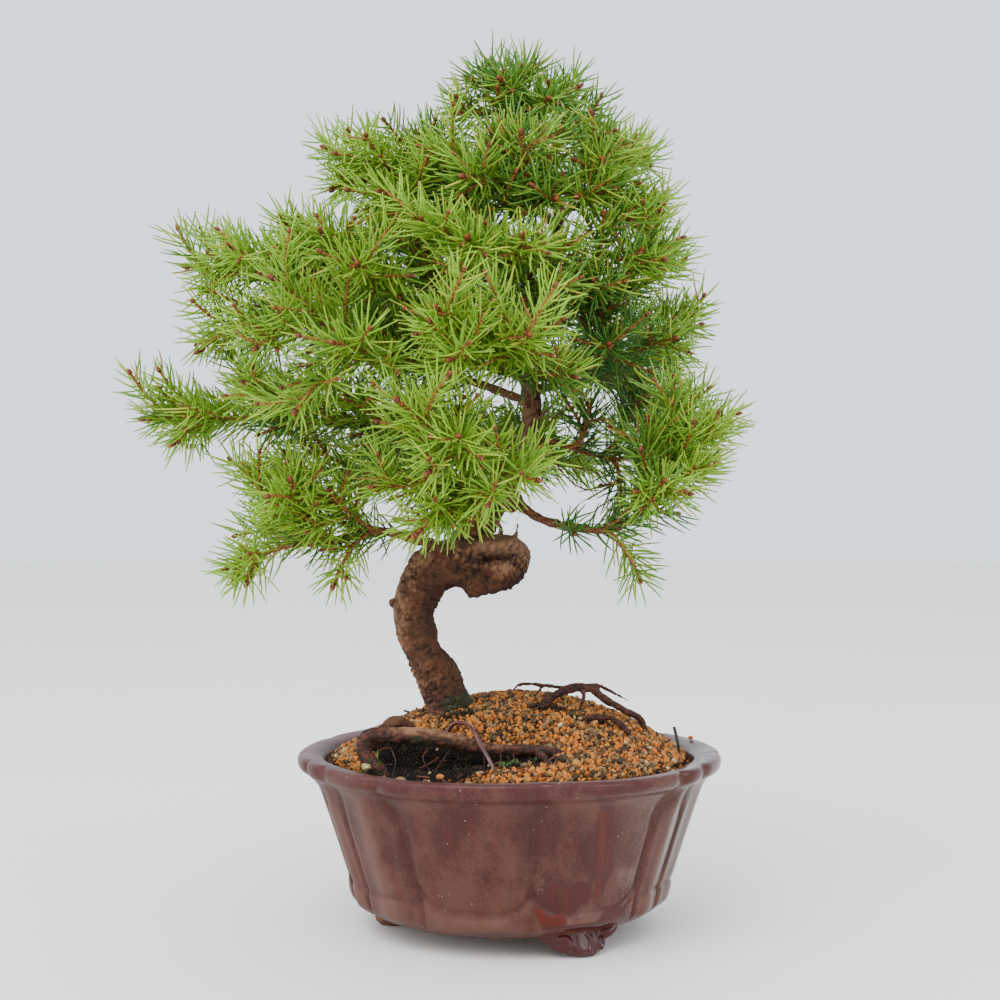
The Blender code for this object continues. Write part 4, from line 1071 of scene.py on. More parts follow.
def gravel_finish(stone):
    finish = Finish("gravel_grains", {"Roughness": 0.9, "Specular IOR Level": 0.3})
    tone = finish.attribute("tone")
    grain = finish.noise(0.8, 3.0, rough=0.65)
    colour = stone.orange
    for second, low, high in (
        (stone.ochre, 0.12, 0.55), (stone.olive_grey, 0.52, 0.53), (stone.tan_grey, 0.66, 0.82),
        (stone.dark, 0.865, 0.87), (stone.cream, 0.975, 0.98),
    ):
        colour = finish.blend(colour, second, finish.step(tone, low, high))
    shade = finish.step(grain, 0.55, 0.3) * 0.4 + finish.step(finish.noise(2.4, 1.0), 0.56, 0.36) * 0.34
    dusk = finish.blend(colour, stone.soil, shade)
    crumb = finish.blend(stone.soil, stone.soil_pale, finish.step(tone + (grain - 0.5) * 0.8, 0.3, 1.0))
    # Where the gravel thins, in the hollow and the spots of painted shadow, a few grains take the soil's
    # colours
    thin_gravel = finish.step(finish.attribute("gravel"), 0.95, 0.7)
    finish.feed("Base Color", finish.blend(dusk, crumb, thin_gravel * finish.step(tone, 0.99, 0.96)))
    finish.bump(grain, 0.35)
    return finish.material


def soil_finish(stone):
    finish = Finish("dark_soil", {"Roughness": 0.95, "Specular IOR Level": 0.15})
    gravel = finish.attribute("gravel")
    grain = finish.noise(1.0, 5.0, rough=0.75)
    chip = finish.cells(1.4)
    kind = finish.cells(1.4, "Color")
    earth = finish.blend(stone.soil, stone.soil_pale, finish.step(grain, 0.5, 0.75))
    chips = finish.blend(stone.orange, stone.olive_grey, finish.step(kind, 0.4, 0.5))
    chips = finish.blend(chips, stone.dark, finish.step(kind, 0.64, 0.7))
    # Painted shade between the grains painted on the soil: they darken towards their edges
    chips = finish.blend(chips, stone.soil, finish.step(chip, 0.3, 0.8) * 0.8)
    finish.feed("Base Color", finish.blend(earth, chips, gravel * 0.6))
    finish.bump(grain * 0.5 + finish.noise(2.6, 3.0) * 0.5 - chip * gravel, 1.2)
    return finish.material


def weed_finish(wood, stone):
    finish = Finish("moss_and_weeds", {"Roughness": 0.6, "Specular IOR Level": 0.3})
    tint = finish.noise(2.5, 3.0)
    moss = finish.blend(wood.moss_dark, wood.moss, finish.step(tint, 0.4, 0.65))
    fresh = finish.blend(wood.moss, stone.leaf, finish.step(tint, 0.35, 0.55))
    finish.feed("Base Color", finish.blend(fresh, moss, finish.attribute("mossy")))
    return finish.material


def plain_finish(name, colour, second, size, roughness, bump=0.05):
    """A finish of one colour that drifts into a second one."""
    finish = Finish(name)
    drift = finish.noise(size, 4.0, rough=0.6)
    finish.feed("Base Color", finish.blend(colour, second, finish.step(drift, 0.4, 0.65)))
    finish.feed("Roughness", drift * 0.2 + (roughness - 0.1))
    finish.bump(drift, bump)
    return finish.material


# Settings

def colour_setting(name, words, *chart):
    return FloatVectorProperty(
        name=name, description=words, subtype="COLOR", default=paint(*chart), min=0.0, max=1.0)


def number_setting(name, words, value, **kind):
    return FloatProperty(name=name, description=words, default=value, **kind)


def angle_setting(name, words, degrees):
    return number_setting(name, words, math.radians(degrees), subtype="ANGLE")


def share_setting(name, words, value):
    return number_setting(name, words, value, subtype="FACTOR", min=0.0, max=1.0)


def length_setting(name, words, millimetres):
    return number_setting(name, words, millimetres * MM, unit="LENGTH", min=0.0)


class NeedleSettings(bpy.types.PropertyGroup):
    length: length_setting("Length", "Length of a needle on a strong shoot", 14.5)
    width: length_setting("Width", "Width across a needle", 0.76)
    spacing: length_setting("Spacing", "Shoot's length that carries one needle", 0.6)
    base_tilt: angle_setting("Tilt", "Needle's angle to its shoot, along the shoot", 60.0)
    tip_tilt: angle_setting("Tilt at tip", "Needle's angle to its shoot, at the bud", 45.0)
    curl: share_setting("Curl", "Sideways bend, as a share of the length", 0.12)
    lift: share_setting("Lift", "How much needles turn up to the light", 0.12)
    # The new and old greens are blended by the sun attribute: paler new growth, and also painted light on the
    # crown's outside and top with painted shade inside it
    bright_green: colour_setting("New green", "Needles at the outside of the crown", 132, 172, 42)
    deep_green: colour_setting("Old green", "Needles close to the trunk", 58, 104, 36)
    yellow_green: colour_setting("Yellow green", "A few pale needles", 172, 178, 58)
    old_needle: colour_setting("Spent needle", "The odd dying needle", 150, 104, 46)
    pale_tip: colour_setting("Needle tip", "The very tip of a needle", 168, 178, 84)
    needle_foot: colour_setting("Needle foot", "The peg that a needle stands on", 126, 80, 38)


class WoodSettings(bpy.types.PropertyGroup):
    grain: length_setting("Voxel", "Size of the voxels that the trunk is fused with", 0.65)
    young_twig: colour_setting("Young twig", "Last year's shoots", 160, 104, 54)
    twig_shadow: colour_setting("Twig furrow", "Furrows of young twigs", 94, 54, 28)
    old_twig: colour_setting("Old twig", "Branch wood", 104, 68, 44)
    # Also the painted shade on the trunk's side turned from the light
    bark_dark: colour_setting("Bark furrow", "Furrows of the bark", 30, 17, 12)
    bark_mid: colour_setting("Bark", "The bark's own brown", 78, 49, 32)
    # Pale ridges, and also the painted highlight on the trunk's side facing the light
    bark_highlight_and_wear: colour_setting("Bark ridge", "Worn ridges of the bark", 142, 106, 78)
    bark_red: colour_setting("Red bark", "Reddish bark where flakes came off", 92, 46, 24)
    root_brown: colour_setting("Root", "Wet roots", 84, 44, 30)
    moss: colour_setting("Moss", "Moss at the trunk's foot", 66, 68, 34)
    moss_dark: colour_setting("Dark moss", "Moss in shadow", 30, 32, 18)
    bud: colour_setting("Bud", "Bud scales", 136, 70, 32)
    bud_dark: colour_setting("Bud shadow", "Between bud scales", 60, 30, 16)


class PotSettings(bpy.types.PropertyGroup):
    glaze: colour_setting("Glaze", "The glaze's brown purple", 60, 29, 23)
    haze: colour_setting("Haze", "Greyish bloom on the glaze", 86, 53, 44)
    haze_patch: colour_setting("Patches", "Pale patches", 106, 79, 68)
    rust: colour_setting("Rust", "Brick red that breaks through", 94, 28, 15)
    pool: colour_setting("Pool", "Where the glaze ran thick", 62, 20, 14)
    lip_face: colour_setting("Lip", "Front of the lip", 64, 29, 27)
    # Colour of the painted reflection of the surround on the lip's top
    lip_top_reflection: colour_setting("Lip's top", "Bluish bloom on the lip's top", 124, 91, 92)
    foot: colour_setting("Feet", "Dark glaze that ran down on the feet", 58, 17, 14)
    spark: colour_setting("Specks", "Tiny white specks", 225, 215, 205)
    clay: colour_setting("Clay", "Bare clay under the feet and inside", 116, 80, 58)


class GravelSettings(bpy.types.PropertyGroup):
    size: length_setting("Grain", "Width of a middling grain", 2.3)
    spacing: length_setting("Spacing", "Least distance between two grains", 1.34)
    seed: IntProperty(name="Seed", description="Another layout of the grains", default=4)
    orange: colour_setting("Orange", "Burnt clay grains", 200, 114, 42)
    ochre: colour_setting("Ochre", "Paler clay grains", 186, 130, 64)
    cream: colour_setting("Cream", "The odd pale grain", 196, 172, 122)
    tan_grey: colour_setting("Tan", "Pumice grains", 146, 114, 76)
    olive_grey: colour_setting("Olive grey", "Grey grains", 100, 78, 52)
    dark: colour_setting("Dark", "Lava grains", 68, 52, 40)
    # The soil's colour, also used as the painted shade on and between the grains
    soil: colour_setting("Soil", "Damp soil", 20, 13, 10)
    soil_pale: colour_setting("Dry soil", "Drier crumbs", 58, 40, 28)
    leaf: colour_setting("Weed", "Blades of the small weeds", 58, 104, 34)
    litter: colour_setting("Litter", "Dead needles", 120, 52, 30)


class StudioSettings(bpy.types.PropertyGroup):
    floor: colour_setting("Floor", "The pale floor", 250, 246, 238)
    sky: colour_setting("Surround", "The light all round", 228, 236, 246)
    strength: number_setting("Surround strength", "Strength of the surround", 1.95)
    key: number_setting("Key light", "Power of the large soft light", 28.0, unit="POWER")
    fill: number_setting("Side light", "Power of each other light", 4.0, unit="POWER")
    distance: length_setting("Distance", "From the pot's axis to the camera", 610.0)
    height: length_setting("Height", "Height of the camera", 158.0)
    lens: number_setting("Lens", "Focal length on a 36 mm sensor", 57.8, unit="CAMERA")


class SpruceSettings(bpy.types.PropertyGroup):
    needles: PointerProperty(type=NeedleSettings)
    wood: PointerProperty(type=WoodSettings)
    pot: PointerProperty(type=PotSettings)
    gravel: PointerProperty(type=GravelSettings)
    studio: PointerProperty(type=StudioSettings)


# The pot

def pot_profile():
    """The turned profile, finely sampled, with its crisp corners kept."""
    base = flowing(POT_OUTSIDE[:5], 4)
    wall = flowing(POT_OUTSIDE[4:7], 13)
    lip = flowing(SEEN_LIP, 3)
    outside = np.vstack([base[:-1], wall[:-1], lip])
    inside = np.vstack([flowing(POT_INSIDE[:3], 4)[:-1], flowing(POT_INSIDE[2:4], 6)[:-1],
                        flowing(POT_INSIDE[3:], 3)])
    return outside, inside


def wall_relief(angle, height):
    """How far the outer wall stands proud of its turned profile, for arrays of angle and height."""
    offset = (angle - PANEL_START) % 120.0
    from_left = np.where(offset > 60.0, offset - 120.0, offset)
    from_right = offset - sum(PANEL_WIDTHS[:BROAD_PANELS])
    lean = GROOVES_LEAN * smooth((height - 46.0) / 13.0)
    tuck = 3.2 * smooth((28.0 - height) / 8.0)
    offset = offset + (lean - tuck) * smooth(1.0 - np.abs(from_left) / 14.0)
    offset = (offset - (lean - 1.3) * smooth(1.0 - np.abs(from_right) / 14.0)) % 120.0

    starts = np.concatenate([[0.0], np.cumsum(PANEL_WIDTHS)])
    number = np.clip(np.searchsorted(starts, offset, side="right") - 1, 0, 3)
    width = np.array(PANEL_WIDTHS)[number]
    share = (offset - starts[number]) / width
    from_edge = np.minimum(share, 1.0 - share) * width
    broad = number < BROAD_PANELS
    band_top = BAND_TOP + BAND_CORNER_RISE * np.abs(2.0 * share - 1.0) ** 5

    depth, spread, crisp = (np.array(row)[(number + (share > 0.5)) % 4] for row in GROOVES)
    flare = 1.0 + 1.3 * smooth((height - 44.0) / 11.0)
    groove = depth * hill(from_edge / (GROOVE_SPREAD * spread * flare)) / flare ** 0.5
    over_band = 1.0 - 0.9 * smooth((band_top - height) / 3.0)
    groove = groove * np.where(broad, over_band, smooth((height - 7.0) / 9.0))
    cut = crisp * hill(from_edge / 0.5) * smooth((height - 16.0) / 5.0)
    arch = np.maximum(np.sin(math.pi * share), 0.0) ** BULGE_FULLNESS
    swell = np.where(broad, PANEL_BULGE, PILLAR_BULGE) * arch
    ribs = np.where(broad, 0.0, 0.35 * np.cos(math.tau * 2.0 * (share - 0.5)))

    above_base = smooth((height - UNDERSIDE) / RELIEF_GROWS_OVER)
    near_lip = smooth((height - RELIEF_FADES_FROM) / RELIEF_FADES_OVER)
    fading = 1.0 - (1.0 - RELIEF_ON_LIP) * near_lip
    relief = (swell + ribs * (1.0 - near_lip) - GROOVE_DEPTH * groove - cut) * above_base * fading
    relief -= 0.8 * hill(from_edge / 2.2) * near_lip
    band = BAND_PROUD * smooth((band_top - height) / BAND_EDGE) - 0.5 * hill((height - band_top) / 0.9)
    arch_line = 55.0 - 3.0 * np.abs(2.0 * share - 1.0) ** 3 + 1.1 * np.cos(4.0 * math.pi * share)
    under_lip = 0.5 * smooth((height - arch_line) / 1.3) * (1.0 - near_lip)
    step = 0.45 * smooth((19.0 - height) / 1.5) - 0.4 * hill((height - 19.6) / 0.9)
    return relief + np.where(broad, band + under_lip, step) * above_base


def depth_inside(places, corners):
    """How far inside an outline each (angle, height) is, in mm and negative outside, on the pot's wall."""
    scale = np.array((1.1, 1.0))
    places, starts = places * scale, np.array(corners, float) * scale
    gaps, crossings = [], np.zeros(len(places), int)
    for start, leg in zip(starts, np.roll(starts, -1, axis=0) - starts):
        share = np.clip((places - start) @ leg / (leg @ leg), 0.0, 1.0)
        gaps.append(np.linalg.norm(places - start - share[:, None] * leg, axis=1))
        straddled = (places[:, 1] >= start[1]) != (places[:, 1] >= start[1] + leg[1])
        slope = leg[0] / leg[1] if leg[1] else 0.0
        crossings += straddled & (places[:, 0] < start[0] + slope * (places[:, 1] - start[1]))
    return np.min(gaps, axis=0) * np.where(crossings % 2, 1.0, -1.0)


def foot_width(height):
    """The left and right edge of a foot at a height."""
    return [np.interp(height, FOOT_HEIGHTS, edge) for edge in FOOT_EDGES]


def foot_front(across, height):
    """How far out the front of a foot's bowl-shaped body stands there."""
    left, right = foot_width(height)
    share = abs(across - (left + right) / 2.0) / ((right - left) / 2.0)
    depth = np.interp(height, (0, 1, 2.5, 4.5, 10), (6.8, 7.6, 7.8, 7.0, 4.6))
    return FOOT_MIDDLE + depth * max(1.0 - share ** 2.6, 0.0) ** 0.45


def foot_body():
    """The bowl-shaped body of a foot, as rings of (across, height, out)."""
    turns = even_turns(FOOT_SIDES)
    across, out = (np.sign(wave) * np.abs(wave) ** 0.8 for wave in (np.cos(turns), np.sin(turns)))
    rings = []
    for height in (0.0, 0.4, 1.2, 2.5, 4.5, 7.0, 10.0):
        left, right = foot_width(height)
        depth = foot_front((left + right) / 2.0, height) - FOOT_MIDDLE
        rings.append(np.stack([(left + right) / 2.0 + (right - left) / 2.0 * across,
                               np.full(FOOT_SIDES, height), FOOT_MIDDLE + depth * out], axis=1))
    return rings


class SPRUCE_OT_pot(bpy.types.Operator):
    """Make the glazed pot with its grooved wall, rolled band and scroll feet"""

    bl_idname = "spruce.pot"
    bl_label = "Pot"
    bl_options = {"REGISTER", "UNDO"}

    def execute(self, context):
        outside, inside = pot_profile()
        pot = piece_of("pot_body", self.bowl(outside, inside))
        feet = bpy.data.collections.new("feet")
        context.scene.collection.children.link(feet)
        for number, angle in enumerate(FOOT_ANGLES):
            foot = self.foot(f"foot_{number}", angle)
            context.scene.collection.objects.unlink(foot)
            feet.objects.link(foot)
        union = pot.modifiers.new("feet", "BOOLEAN")
        union.operation = "UNION"
        union.operand_type = "COLLECTION"
        union.collection = feet
        union.solver = "EXACT"
        settle(pot)
        clear_away(feet)
        self.mark(pot.data, outside, inside)
        hand_over(finished(pot, glaze_finish(context.scene.spruce.pot)), "glaze", "pot")
        return {"FINISHED"}

    def bowl(self, outside, inside):
        """The wall, lip and floor as one closed skin."""
        floor_edge = 28.0
        angles = np.linspace(-180.0, 180.0, POT_SIDES, endpoint=False)
        turns = np.radians(angles)
        profile = np.vstack([[(DRAIN_RADIUS, UNDERSIDE), (floor_edge, UNDERSIDE)], outside, inside,
                             [(floor_edge, FLOOR_TOP), (DRAIN_RADIUS, FLOOR_TOP)]])
        rings = []
        for row, (radius, height) in enumerate(profile):
            reach = np.full(POT_SIDES, radius)
            if 2 <= row < 2 + len(outside):
                wobble = 0.18 * np.sin(turns * 7.0 + height * 0.07) + 0.12 * np.sin(turns * 13.0 + 1.3)
                relief = wall_relief(angles, np.full(POT_SIDES, height))
                reach += relief + wobble * smooth((height - 20.0) / 30.0)
            lift = 0.25 * np.sin(turns * 5.0 + 0.6) * smooth((height - 58.0) / 5.0) * (radius > 69)
            rings.append(ring_at(reach, turns, height + lift))
        total = len(rings) * POT_SIDES
        faces = ring_faces(len(rings) + 1, POT_SIDES, closed=False)
        faces = [tuple(corner % total for corner in face) for face in faces]
        return mesh_of("pot_body", np.vstack(rings), faces)

    def mark(self, mesh, outside, inside):
        """Stores which part of the pot each vertex is on."""
        places = places_of(mesh)
        height = places[:, 2]
        radius = np.hypot(places[:, 0], places[:, 1])
        angle = np.degrees(np.arctan2(places[:, 0], -places[:, 1]))
        outer = np.interp(height, outside[:, 1], outside[:, 0])
        inner = np.interp(height, inside[::-1, 1], inside[::-1, 0])
        from_foot = np.min([np.abs((angle - a + 180.0) % 360.0 - 180.0) for a in FOOT_ANGLES], axis=0)
        foot = ((height < 6.3) | ((radius > outer + 1.2) & (height < 13.0))) & (from_foot < 22.0)
        left = np.abs(angle - FOOT_ANGLES[-1] + 360.0) < 30.0
        bare = (~foot) * ((radius < inner + 0.5) & (height < 61.0) | (height < 6.6) & (radius < 49.5))
        wavy_edge = 58.0 + 0.9 * np.cos(np.radians(angle * 9.0))
        # Where the lip's painted reflection shows: most towards the back
        behind = 0.15 + 0.85 * smooth((places[:, 1] + 45.0) / 50.0)
        marks = {
            "lip": smooth((height - wavy_edge) / 0.8) * (radius > inner + 0.6),
            "lip_top": smooth((height - 63.4) / 1.2) * (radius > 69.5) * behind,
            "bare": np.maximum(bare, foot * left * 0.75),
            "edge": np.clip((radius - outer) * 0.5, 0.0, 1.0) * (height > 9.0) * (height < 58.0) * (~foot),
            "foot": foot * (~left),
            "right": smooth((places[:, 0] + 30.0) / 90.0),
        }
        spots = np.stack([angle, height], axis=1)
        for name, runs in GLAZE_RUNS.items():
            depth = np.max([depth_inside(spots, run) for run in runs], axis=0)
            marks[name] = np.where(radius > outer - 2.0, np.maximum(depth, -4.0), -4.0)
        write_attributes(mesh, **marks)

    def foot(self, name, angle):
        """One foot, its scrolls fused with its body."""
        turn = math.radians(angle)
        side, up = np.array((math.cos(turn), math.sin(turn), 0.0)), np.array((0.0, 0.0, 1.0))
        out = np.array((math.sin(turn), -math.cos(turn), 0.0))
        rings = foot_body()
        body = np.array([side * a + up * h + out * o for a, h, o in np.vstack(rings)])
        shapes = [(body, ring_faces(len(rings), FOOT_SIDES))]
        rods = [[(a, h, foot_front(a, h), r) for a, h, r in rod] for rod in FOOT_SCROLLS]
        for rod in [*rods, FOOT_HORN]:
            line = flowing(rod, 4)
            centre = [side * a + up * h + out * o for a, h, o, _ in line]
            shapes.append(tube(centre, line[:, 3], SCROLL_SIDES))
        points, faces = joined(shapes)
        if angle == FOOT_ANGLES[-1]:
            points[:, :2] += LEFT_FOOT_SHIFT
        foot = piece_of(name, mesh_of(name, points, faces))
        fuse(foot, FOOT_VOXEL * MM, 1)
        for vertex in foot.data.vertices:
            vertex.co.z = max(vertex.co.z, 0.0)
        return foot


# Gravel, soil and what lies on it

def soil_height(x, y):
    """The gravel's surface: a soft mound with a hollow under the front root."""
    reach = POT_INSIDE[1][0]
    inwards = 1.0 - np.hypot(x, y) / reach
    from_crest = np.hypot(x - SOIL_CREST[0] * inwards, y - SOIL_CREST[1] * inwards) / reach
    mound = SOIL_EDGE + SOIL_RISE * (1.0 - from_crest ** 2)
    across = (x - HOLLOW_CENTRE[0]) / HOLLOW_REACH[0]
    forth = (y - HOLLOW_CENTRE[1]) / HOLLOW_REACH[1]
    return mound - HOLLOW_DEPTH * np.exp(-(across ** 2) - forth ** 2)


def in_hollow(x, y):
    """1 in the dark hollow under the front root, 0 outside it, and up to 0.28 in the spots of painted shadow.
    """
    front = np.interp(x, (-50.0, -16.0, -6.0, 14.0), (-65.0, -64.0, -57.0, -54.0))
    ragged = 1.6 * np.sin(x * 0.9) + 1.1 * np.sin(x * 2.1 + y)
    void = smooth((x + 49.0) / 4.0) * smooth((17.0 - x) / 4.0)
    back = np.interp(x, (-46, -38, -30, -22, -14, -6, 2, 10, 18),
                     (-20, -21, -22.5, -25.5, -28.5, -31, -34, -39, -41))
    void = void * smooth((y + ragged - front) / 2.5) * smooth((ragged * 0.2 + back - y) / 1.5)
    for a, b, wide, deep in SHADOW_SPOTS:
        void = np.maximum(void, 0.28 * hill(((x - a) / wide) ** 2 + ((y - b) / deep) ** 2))
    return void


def chipped_stone(draw, corners):
    """Points and faces of an angular stone about 1 across: the hull of points round a squashed ball."""
    grid = bmesh.new()
    size = (draw.uniform(0.9, 1.2), draw.uniform(0.75, 1.0), draw.uniform(0.6, 0.85))
    for corner in range(corners):
        height = 1.0 - 2.0 * (corner + 0.5) / corners + draw.uniform(-0.5, 0.5) / corners
        turn = math.radians(GOLDEN_TURN * corner) + draw.uniform(-0.5, 0.5)
        out = math.sqrt(1.0 - height * height)
        place = Vector((out * math.cos(turn) * size[0], out * math.sin(turn) * size[1], height * size[2]))
        grid.verts.new(place * 0.5 * draw.uniform(0.84, 1.14))
    bmesh.ops.convex_hull(grid, input=grid.verts)
    bmesh.ops.delete(grid, geom=[v for v in grid.verts if not v.link_faces], context="VERTS")
    bmesh.ops.recalc_face_normals(grid, faces=grid.faces)
    grid.verts.index_update()
    points = np.array([tuple(v.co) for v in grid.verts])
    faces = [tuple(v.index for v in face.verts) for face in grid.faces]
    grid.free()
    return points, faces


def gravel_growth():
    """Scatters grains over a surface, more or fewer as its gravel attribute says."""
    growth = Growth("gravel", {
        "Grains": "Collection", "Size": "Float", "Spacing": "Float", "Seed": "Int", "Material": "Material"})
    seed = growth.given("Seed")
    points = growth.strewn(growth.given("Spacing"), 3000000.0, "gravel")
    grains = growth.add("GeometryNodeCollectionInfo", {
        "Collection": growth.given("Grains"), "Separate Children": True, "Reset Children": True})
    spin = growth.chance((-math.pi,) * 3, (math.pi,) * 3, seed + 1, "FLOAT_VECTOR")
    turn = growth.add("FunctionNodeEulerToRotation", {"Euler": spin})
    width = growth.given("Size") * 1000.0 * (0.68 + growth.chance(0.0, 1.0, seed + 2) ** 1.8 * 0.85)
    width = width * (growth.attribute("gravel") * 0.9 + 0.1)
    placed = growth.placed(points, grains, pick_instance=True, rotation=turn,
                           scale=growth.vector(width, width, width))
    toned = growth.store(placed, "tone", growth.chance(0.0, 1.0, seed + 3), "INSTANCE")
    growth.finish((toned, "Material"), rounded=False)
    return growth


def litter_growth():
    """Lays dead needles on a surface."""
    growth = Growth("litter", {"Length": "Float", "Width": "Float", "Seed": "Int", "Material": "Material"})
    seed, length = growth.given("Seed"), growth.given("Length")
    points = growth.strewn(0.003, 60000.0, "litter")
    line = growth.add("GeometryNodeCurveQuadraticBezier", {
        "Resolution": 4, "Start": growth.vector(length * -0.5), "Middle": growth.vector(0.0, length * 0.16),
        "End": growth.vector(length * 0.5)})
    needle = growth.swept(line, growth.ring(4, growth.given("Width") * 0.5))
    spin = growth.vector(growth.chance(-0.3, 0.3, seed + 1), growth.chance(-0.45, 0.45, seed + 2),
                         growth.chance(-3.14, 3.14, seed + 3))
    turn = growth.add("FunctionNodeEulerToRotation", {"Euler": spin})
    share = growth.chance(0.45, 1.0, seed + 4)
    placed = growth.placed(points, needle, rotation=turn, scale=growth.vector(share, 1.0, 1.0))
    growth.finish((placed, "Material"))
    return growth


def bed_points(step, sides):
    """Rings of places over the soil, a step apart, with their heights."""
    rings = []
    for radius in np.arange(SOIL_RADIUS, 0.9, -step):
        ring = ring_at(radius, even_turns(sides), 0.0)
        ring[:, 2] = soil_height(ring[:, 0], ring[:, 1])
        rings.append(ring)
    return rings


class SPRUCE_OT_soil(bpy.types.Operator):
    """Make the soil, its gravel, and the dead needles that lie on it"""

    bl_idname = "spruce.soil"
    bl_label = "Soil and gravel"
    bl_options = {"REGISTER", "UNDO"}

    # The soil's underside as (radius, height), clear of the drainage mesh
    underside = ((1.0, FLOOR_TOP + 1.5), (15.5, FLOOR_TOP + 1.5), (47.2, FLOOR_TOP + GAP), (52.1, 13.9),
                 (67.1, 56.0))

    def execute(self, context):
        settings = context.scene.spruce.gravel
        hand_over(self.bed(soil_finish(settings)), "gravel", "soil")
        surface = self.surface()
        draw = random.Random(SEED)
        grains = bpy.data.collections.new("grains")
        for number in range(GRAIN_SHAPES):
            grain = mesh_of(f"grain_{number}", *chipped_stone(draw, GRAIN_CORNERS), axis=(0, 0, 0))
            grains.objects.link(bpy.data.objects.new(grain.name, grain))
        stony = gravel_finish(settings)
        gravel = gravel_growth().grow(
            "gravel_grains", surface.copy(), grains=grains, size=settings.size, spacing=settings.spacing,
            seed=settings.seed, material=stony)
        hand_over(gravel, "gravel")
        hand_over(self.stones(draw, stony), "gravel")
        clear_away(grains)
        dead = plain_finish("dead_needles", settings.litter, settings.soil_pale, 6.0, 0.7)
        litter = litter_growth().grow(
            "dead_needles", surface, length=0.011, width=0.0008, seed=5, material=dead)
        hand_over(litter, "needle_green")
        return {"FINISHED"}

    def stones(self, draw, material):
        """The larger stones, each in its place on the gravel or, past its edge, on the lip."""
        shapes, tones = [], []
        for x, y, width, tone, above in STONES:
            on_lip = math.hypot(x, y) >= SOIL_RADIUS
            height = SEEN_LIP[-1][1] + 0.8 if on_lip else soil_height(x, y) + above
            points, faces = chipped_stone(draw, STONE_CORNERS)
            shapes.append((points * width + (x, y, height), faces))
            tones += [tone] * len(points)
        mesh = mesh_of("loose_stones", *joined(shapes), tone=tones, gravel=np.ones(len(tones)))
        return piece_of("loose_stones", mesh, material, rounded=False)

    def bed(self, material):
        """The soil's body, with a fine rough top."""
        rings = [ring_at(radius, even_turns(BED_SIDES), height) for radius, height in self.underside]
        top = bed_points(BED_STEP, BED_SIDES)
        for ring in top[1:]:
            ring[:, 2] += 0.7 * rough_at(ring, 3.0) + 0.35 * rough_at(ring, 1.3, 9.0) - 0.6
        top[0][:, 2] -= 0.8
        rings += top
        points = np.vstack(rings)
        gravel = (1.0 - smooth(in_hollow(points[:, 0], points[:, 1]) / 0.4)) * (points[:, 2] > 56.5)
        mesh = mesh_of("soil_bed", points, ring_faces(len(rings), BED_SIDES), gravel=gravel)
        return piece_of("soil_bed", mesh, material)

    def surface(self):
        """The bare surface that grains and needles are scattered over."""
        rings = bed_points(SURFACE_STEP, SURFACE_SIDES)
        points = np.vstack(rings)
        hollow = in_hollow(points[:, 0], points[:, 1])
        near_rim = np.hypot(points[:, 0], points[:, 1]) > 67.6
        gravel = np.where(near_rim, 0.0, 1.0 - 0.45 * smooth(hollow / 0.4))
        litter = 0.02 + 0.16 * hollow + 0.15 * np.exp(-((points[:, 0] + 22) ** 2 + points[:, 1] ** 2) / 500.0)
        points[:, 2] -= 0.25
        faces = ring_faces(len(rings), SURFACE_SIDES, closed=False)
        return mesh_of("soil_surface", points, faces, gravel=gravel, litter=litter)


